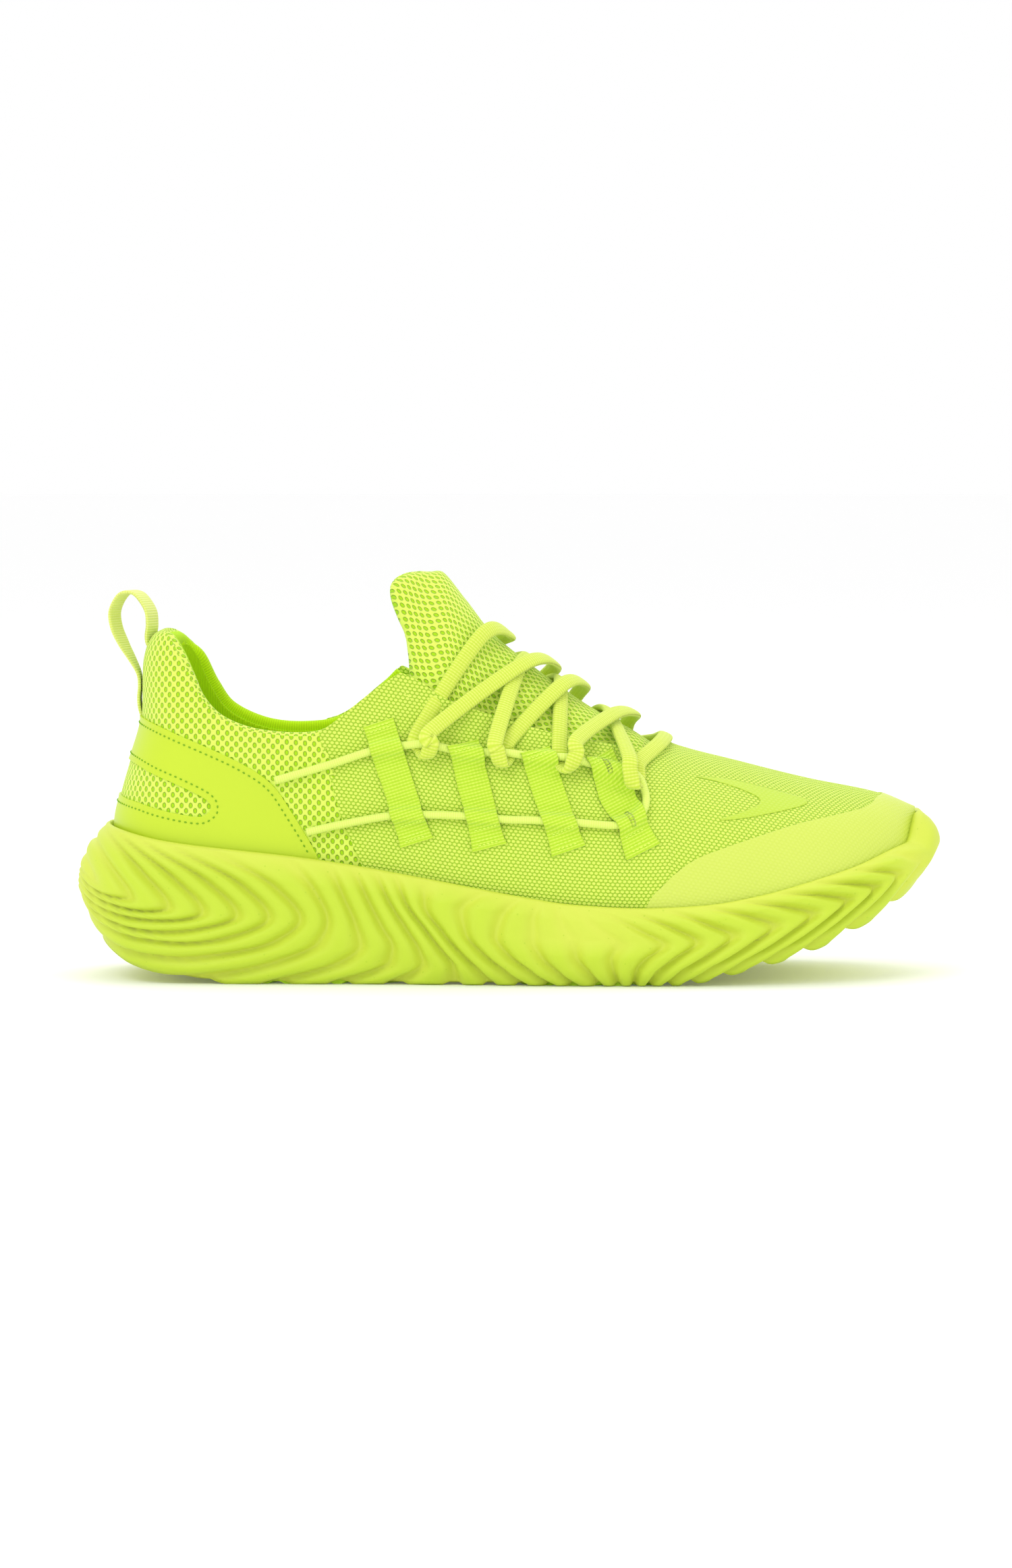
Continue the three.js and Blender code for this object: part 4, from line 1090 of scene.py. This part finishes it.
# ---- Stitches: short threads along a line, joined into one piece ----
def stitch_mesh(name, stitches, radius, material):
    """stitches is a list of (start, end, normal): each becomes a small rounded thread."""
    points, faces = [], []
    sides = 6
    profile = [(0.0, 0.05), (0.12, 0.7), (0.5, 1.0), (0.88, 0.7), (1.0, 0.05)]
    thread = band_faces(len(profile), sides) + end_caps(len(profile), sides)
    turns = [2 * math.pi * k / sides for k in range(sides)]
    for start, end, normal in stitches:
        side = np.cross(unit(end - start), normal)
        faces += [[len(points) + i for i in face] for face in thread]
        points += [start + (end - start) * t + (side * math.cos(a) + normal * math.sin(a)) * radius * share
                   for t, share in profile for a in turns]
    return piece(make(name, np.array(points), faces), material)


def heel_place(turn, z, side):
    """A point on the skin's rounded heel, at a turn from the rearmost point and a height."""
    low, high = float(footbed(HEEL_X)), float(crest(HEEL_X))
    width = base_width(HEEL_X, side) * section_share(np.clip((z - low) / (high - low), 0, 1))
    return np.stack([HEEL_X - (HEEL_X - heel_back(z)) * np.cos(turn) ** (2 / PLAN_POWER),
                     side * width * np.sin(turn) ** (2 / PLAN_POWER), z], axis=-1)


def on_skin_line(line, side):
    """A side-view line carried onto the skin, round the heel too: its points and normals."""
    fine = spline([(x, z, 0) for x, z in line], 1500)[:, :2]
    on_shoe = fine[:, 0] >= heel_back(fine[:, 1]) - 0.15
    z = fine[on_shoe, 1]
    x = np.maximum(fine[on_shoe, 0], heel_back(z) + 1e-5)
    points, normals = from_sides(x, z, side, 0.0)
    run = np.clip((HEEL_X - x) / (HEEL_X - heel_back(z)), 0, 1)
    turn = np.clip(np.arccos(run ** (PLAN_POWER / 2)), 0.02, math.pi / 2 - 0.02)
    around = heel_place(turn + 0.015, z, side) - heel_place(turn - 0.015, z, side)
    upward = heel_place(turn, z + PROBE, side) - heel_place(turn, z - PROBE, side)
    round_normals = -side * unit(np.cross(around, upward))
    at_heel = (x < HEEL_X - 1)[:, None]
    return points, np.where(at_heel, round_normals, normals)


def stitch_line(line, side, pitch, length, surface):
    """Evenly spaced stitches along a side-view line, on a surface given by its height over the skin."""
    points, normals = on_skin_line(line, side)
    lifted = points + normals * surface(points, side)[:, None]
    steps = distance_along(lifted)

    def at(place, values):
        return np.array([np.interp(place, steps, values[:, k]) for k in range(3)])

    return [(at(place, lifted), at(place + length, lifted), at(place, normals))
            for place in np.arange(pitch / 2, steps[-1] - length, pitch)]


def overlay_surface(points, side):
    """The height of the overlay's outer face over the skin, and a little for the thread."""
    collar = COLLAR_LATERAL if side < 0 else COLLAR_MEDIAL
    below = distance_inside(below_opening(collar), points[:, 0], points[:, 2])
    return OVERLAY_OUT + SWELL * swell(below) + 0.1


def strap_surface(points, side):
    """The same for the straps, which lie alike on both sides."""
    return strap_height(points[:, 0], points[:, 2]) + 0.12


NEEDLE_PITCH, NEEDLE_LENGTH, EDGE_INSET = 2.1, 0.95, 2.3
TACK_PITCH, TACK_LENGTH = 1.5, 1.15
overlay_threads, tack_threads = [], []
for side, label in ((-1, "lateral"), (1, "medial")):
    side_cord(side, label)
    for index, line in enumerate(STRAP_LINES):
        strap(line, side, label, index)
    inner_edge = [p for p in shift_line(OVERLAY_EDGE, -EDGE_INSET) if p[1] > sole_top(p[0]) + 1]
    for row in (inner_edge, shift_line(WINDOW, EDGE_INSET)):
        overlay_threads += stitch_line(row, side, NEEDLE_PITCH, NEEDLE_LENGTH, overlay_surface)
    for top, length, along, across in map(strap_axes, STRAP_LINES):
        for place in (1.3, 2.6, length - 1.6, length - 3.2, length - 7.0):
            tack = [top + along * place + across * (STRAP_WIDTH / 2 - 1) * share for share in (-1, 0, 1)]
            tack_threads += stitch_line(tack, side, TACK_PITCH, TACK_LENGTH, strap_surface)
stitch_mesh("overlay_stitching", overlay_threads, 0.30, THREAD)
stitch_mesh("strap_tacks", tack_threads, 0.24, TACK)


# ---- Lace: one flat oval lace ----
ANCHORS = [(124, 83.2), (150, 79.8), (172.5, 77.2), (195, 71)]
IN_FRONT = LIFTED + CORD_RADIUS + LACE_HALF + GAP
BEHIND = LACE_HALF + GAP
LOW_PASS = LACE_HALF + 2 * GAP - TONGUE_DEPTH
HIGH_PASS = LOW_PASS + 2 * LACE_HALF + 2 * GAP
LEAN = 2.6  # how far the lace leans along the shoe as it rounds the cord


class LaceRoute:
    """Collects the lace's points and the way its flat side faces, as rows of both."""

    def __init__(self):
        self.rows, self.turned = [], 1.0

    def put(self, point, normal):
        self.rows.append([*point, *(np.asarray(normal) * self.turned)])

    def on_side(self, x, z, side, out):
        self.put(*from_sides(x, z, side, out))

    def over(self, places, out):
        for x, y in places:
            self.put(*from_top(x, y, out))

    def round_cord(self, index, side, lean, from_front):
        x, z = ANCHORS[index]
        front = [(x - lean, z + 5, IN_FRONT - 1), (x - lean * 0.8, z, IN_FRONT)]
        back = [(x + lean * 0.8, z, BEHIND), (x + lean, z + 5, BEHIND)]
        first, last = (front, back) if from_front else (back[::-1], front[::-1])
        for px, pz, out in first:
            self.on_side(px, pz, side, out)
        below, _ = from_sides(x, z - 4, side, LIFTED)
        self.put(below, (0, 0, -1) if from_front else (0, 0, 1))
        self.turned = -self.turned
        for px, pz, out in last:
            self.on_side(px, pz, side, out)


route = LaceRoute()
route.on_side(126.5, 98, 1, BEHIND)
route.on_side(125, 94, 1, BEHIND)
route.round_cord(0, 1, -LEAN, False)
route.over([(150, 19), (159.5, 3), (156, -17)], LOW_PASS)
route.round_cord(1, -1, LEAN, True)
route.over([(170, -15), (177.5, 3), (175, 19)], HIGH_PASS)
route.round_cord(2, 1, LEAN, True)
route.over([(183, 18), (187.5, 3), (190, -12)], LOW_PASS)
route.round_cord(3, -1, LEAN, True)
route.over([(205, -13), (207.5, 3), (205, 17)], BEHIND)
route.round_cord(3, 1, -LEAN, True)
route.over([(194, 19), (195.5, 3), (188.5, -13)], HIGH_PASS)
route.round_cord(2, -1, -LEAN, True)
route.over([(171, -15), (170.5, 3), (164, 19)], LOW_PASS)
route.round_cord(1, 1, -LEAN, True)
route.over([(163, 19), (167, 3), (156.5, -17)], HIGH_PASS)
route.round_cord(0, -1, -LEAN, True)
route.over([(142, -19), (151.5, 0), (147, 14)], BEHIND)
route.on_side(142, 110.5, 1, BEHIND)
LACE_WIDTH, LACE_THICK = 5.6, 2.5
lace = sweep_rows("lace_cord", route.rows, 1500, oval(LACE_WIDTH, LACE_THICK, 20, 2.4))
piece(lace, LACE, replaces=["lace"])


# ---- Pull loop: one ribbon from the heel tape round the loop to the collar ----
LOOP_ROUTE = [(22.9, 91.2), (21.8, 94.8), (21.5, 98.5), (21.8, 103), (21.3, 107.2), (18.9, 112),
              (15.6, 117.5), (12.9, 123.3), (12.4, 129.4), (16.0, 135.2), (21.2, 135.2), (25.5, 129.8),
              (26.3, 124.6), (25.8, 120.4), (26.0, 117.6), (27.4, 114.8)]
LOOP_WIDTH, LOOP_THICK, LOOP_TURN = 11.0, 1.2, math.radians(16)


def loop_visual():
    line = spline([(x, z, 0) for x, z in LOOP_ROUTE], 320)[:, :2]
    tangent = unit(np.gradient(line, axis=0))
    level = np.zeros(len(line))
    centres = np.stack([line[:, 0], level, line[:, 1]], 1)
    normals = np.stack([-tangent[:, 1], level, tangent[:, 0]], 1)
    ribbon = sweep("pull_ribbon", centres, normals, oval(LOOP_WIDTH, LOOP_THICK, 44, 7))
    pivot = to_frame((22, 0, 0))
    for vertex in ribbon.data.vertices:
        lift = min(max((vertex.co.z - 0.104) / 0.018, 0), 1)
        turn = -LOOP_TURN * lift * lift * (3 - 2 * lift)
        dx, dy = vertex.co.x - pivot[0], vertex.co.y - pivot[1]
        vertex.co.x = pivot[0] + dx * math.cos(turn) - dy * math.sin(turn)
        vertex.co.y = pivot[1] + dx * math.sin(turn) + dy * math.cos(turn)
    return ribbon


pull = loop_visual()
dress(pull, LOOP_WEBBING)
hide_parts("pull_tape", "pull_loop")
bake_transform(pull)


# ---- Pieces that stay as the frame has them, each with its own finish ----
for node, material in (("strobel_board", BOARD), ("heel_counter", BOARD), ("toe_puff", BOARD),
                       ("aglet_1", TIP), ("aglet_2", TIP)):
    dress(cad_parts[node], material)


# ---- Floor and light ----
def backdrop():
    """A wide pale floor that runs out to the horizon."""
    radius, around = 30.0, 96
    turns = [2 * math.pi * k / around for k in range(around)]
    points = [(0.0, 0.0, 0.0)] + [(radius * math.cos(a), radius * math.sin(a), 0.0) for a in turns]
    faces = [(0, 1 + k, 1 + (k + 1) % around) for k in range(around)]
    floor = make("studio_floor", points, faces, millimetres=False)
    shader = Shader("studio_paper", roughness=0.9, specular=0.1)
    shader.set("Emission Color", (1.0, 1.0, 1.0, 1.0))
    shader.set("Emission Strength", 0.06)
    dress(floor, shader.finish((0.93, 0.93, 0.93)))


def area_light(name, place, size, power, target=(0, 0, 0.06)):
    data = bpy.data.lights.new(name, "AREA")
    data.shape = "RECTANGLE"
    data.size, data.size_y = size
    data.energy = power
    light = bpy.data.objects.new(name, data)
    light.location = place
    light.rotation_mode = "QUATERNION"
    light.rotation_quaternion = (Vector(target) - Vector(place)).to_track_quat("-Z", "Y")
    bpy.context.collection.objects.link(light)


backdrop()
area_light("key", (-0.9, -1.5, 1.7), (1.2, 1.2), 12)
area_light("fill", (1.5, -1.2, 0.9), (1.4, 1.0), 2)
area_light("top", (0.2, 0.5, 2.0), (1.6, 1.2), 7)
area_light("back", (-0.2, 2.0, 1.0), (1.6, 0.8), 4)
world = bpy.data.worlds.new("studio")
world.use_nodes = True
world.node_tree.nodes["Background"].inputs["Color"].default_value = (1, 1, 1, 1)
world.node_tree.nodes["Background"].inputs["Strength"].default_value = 1.0
bpy.context.scene.world = world
bpy.context.scene.view_settings.view_transform = "Standard"
bpy.context.scene.view_settings.look = "None"
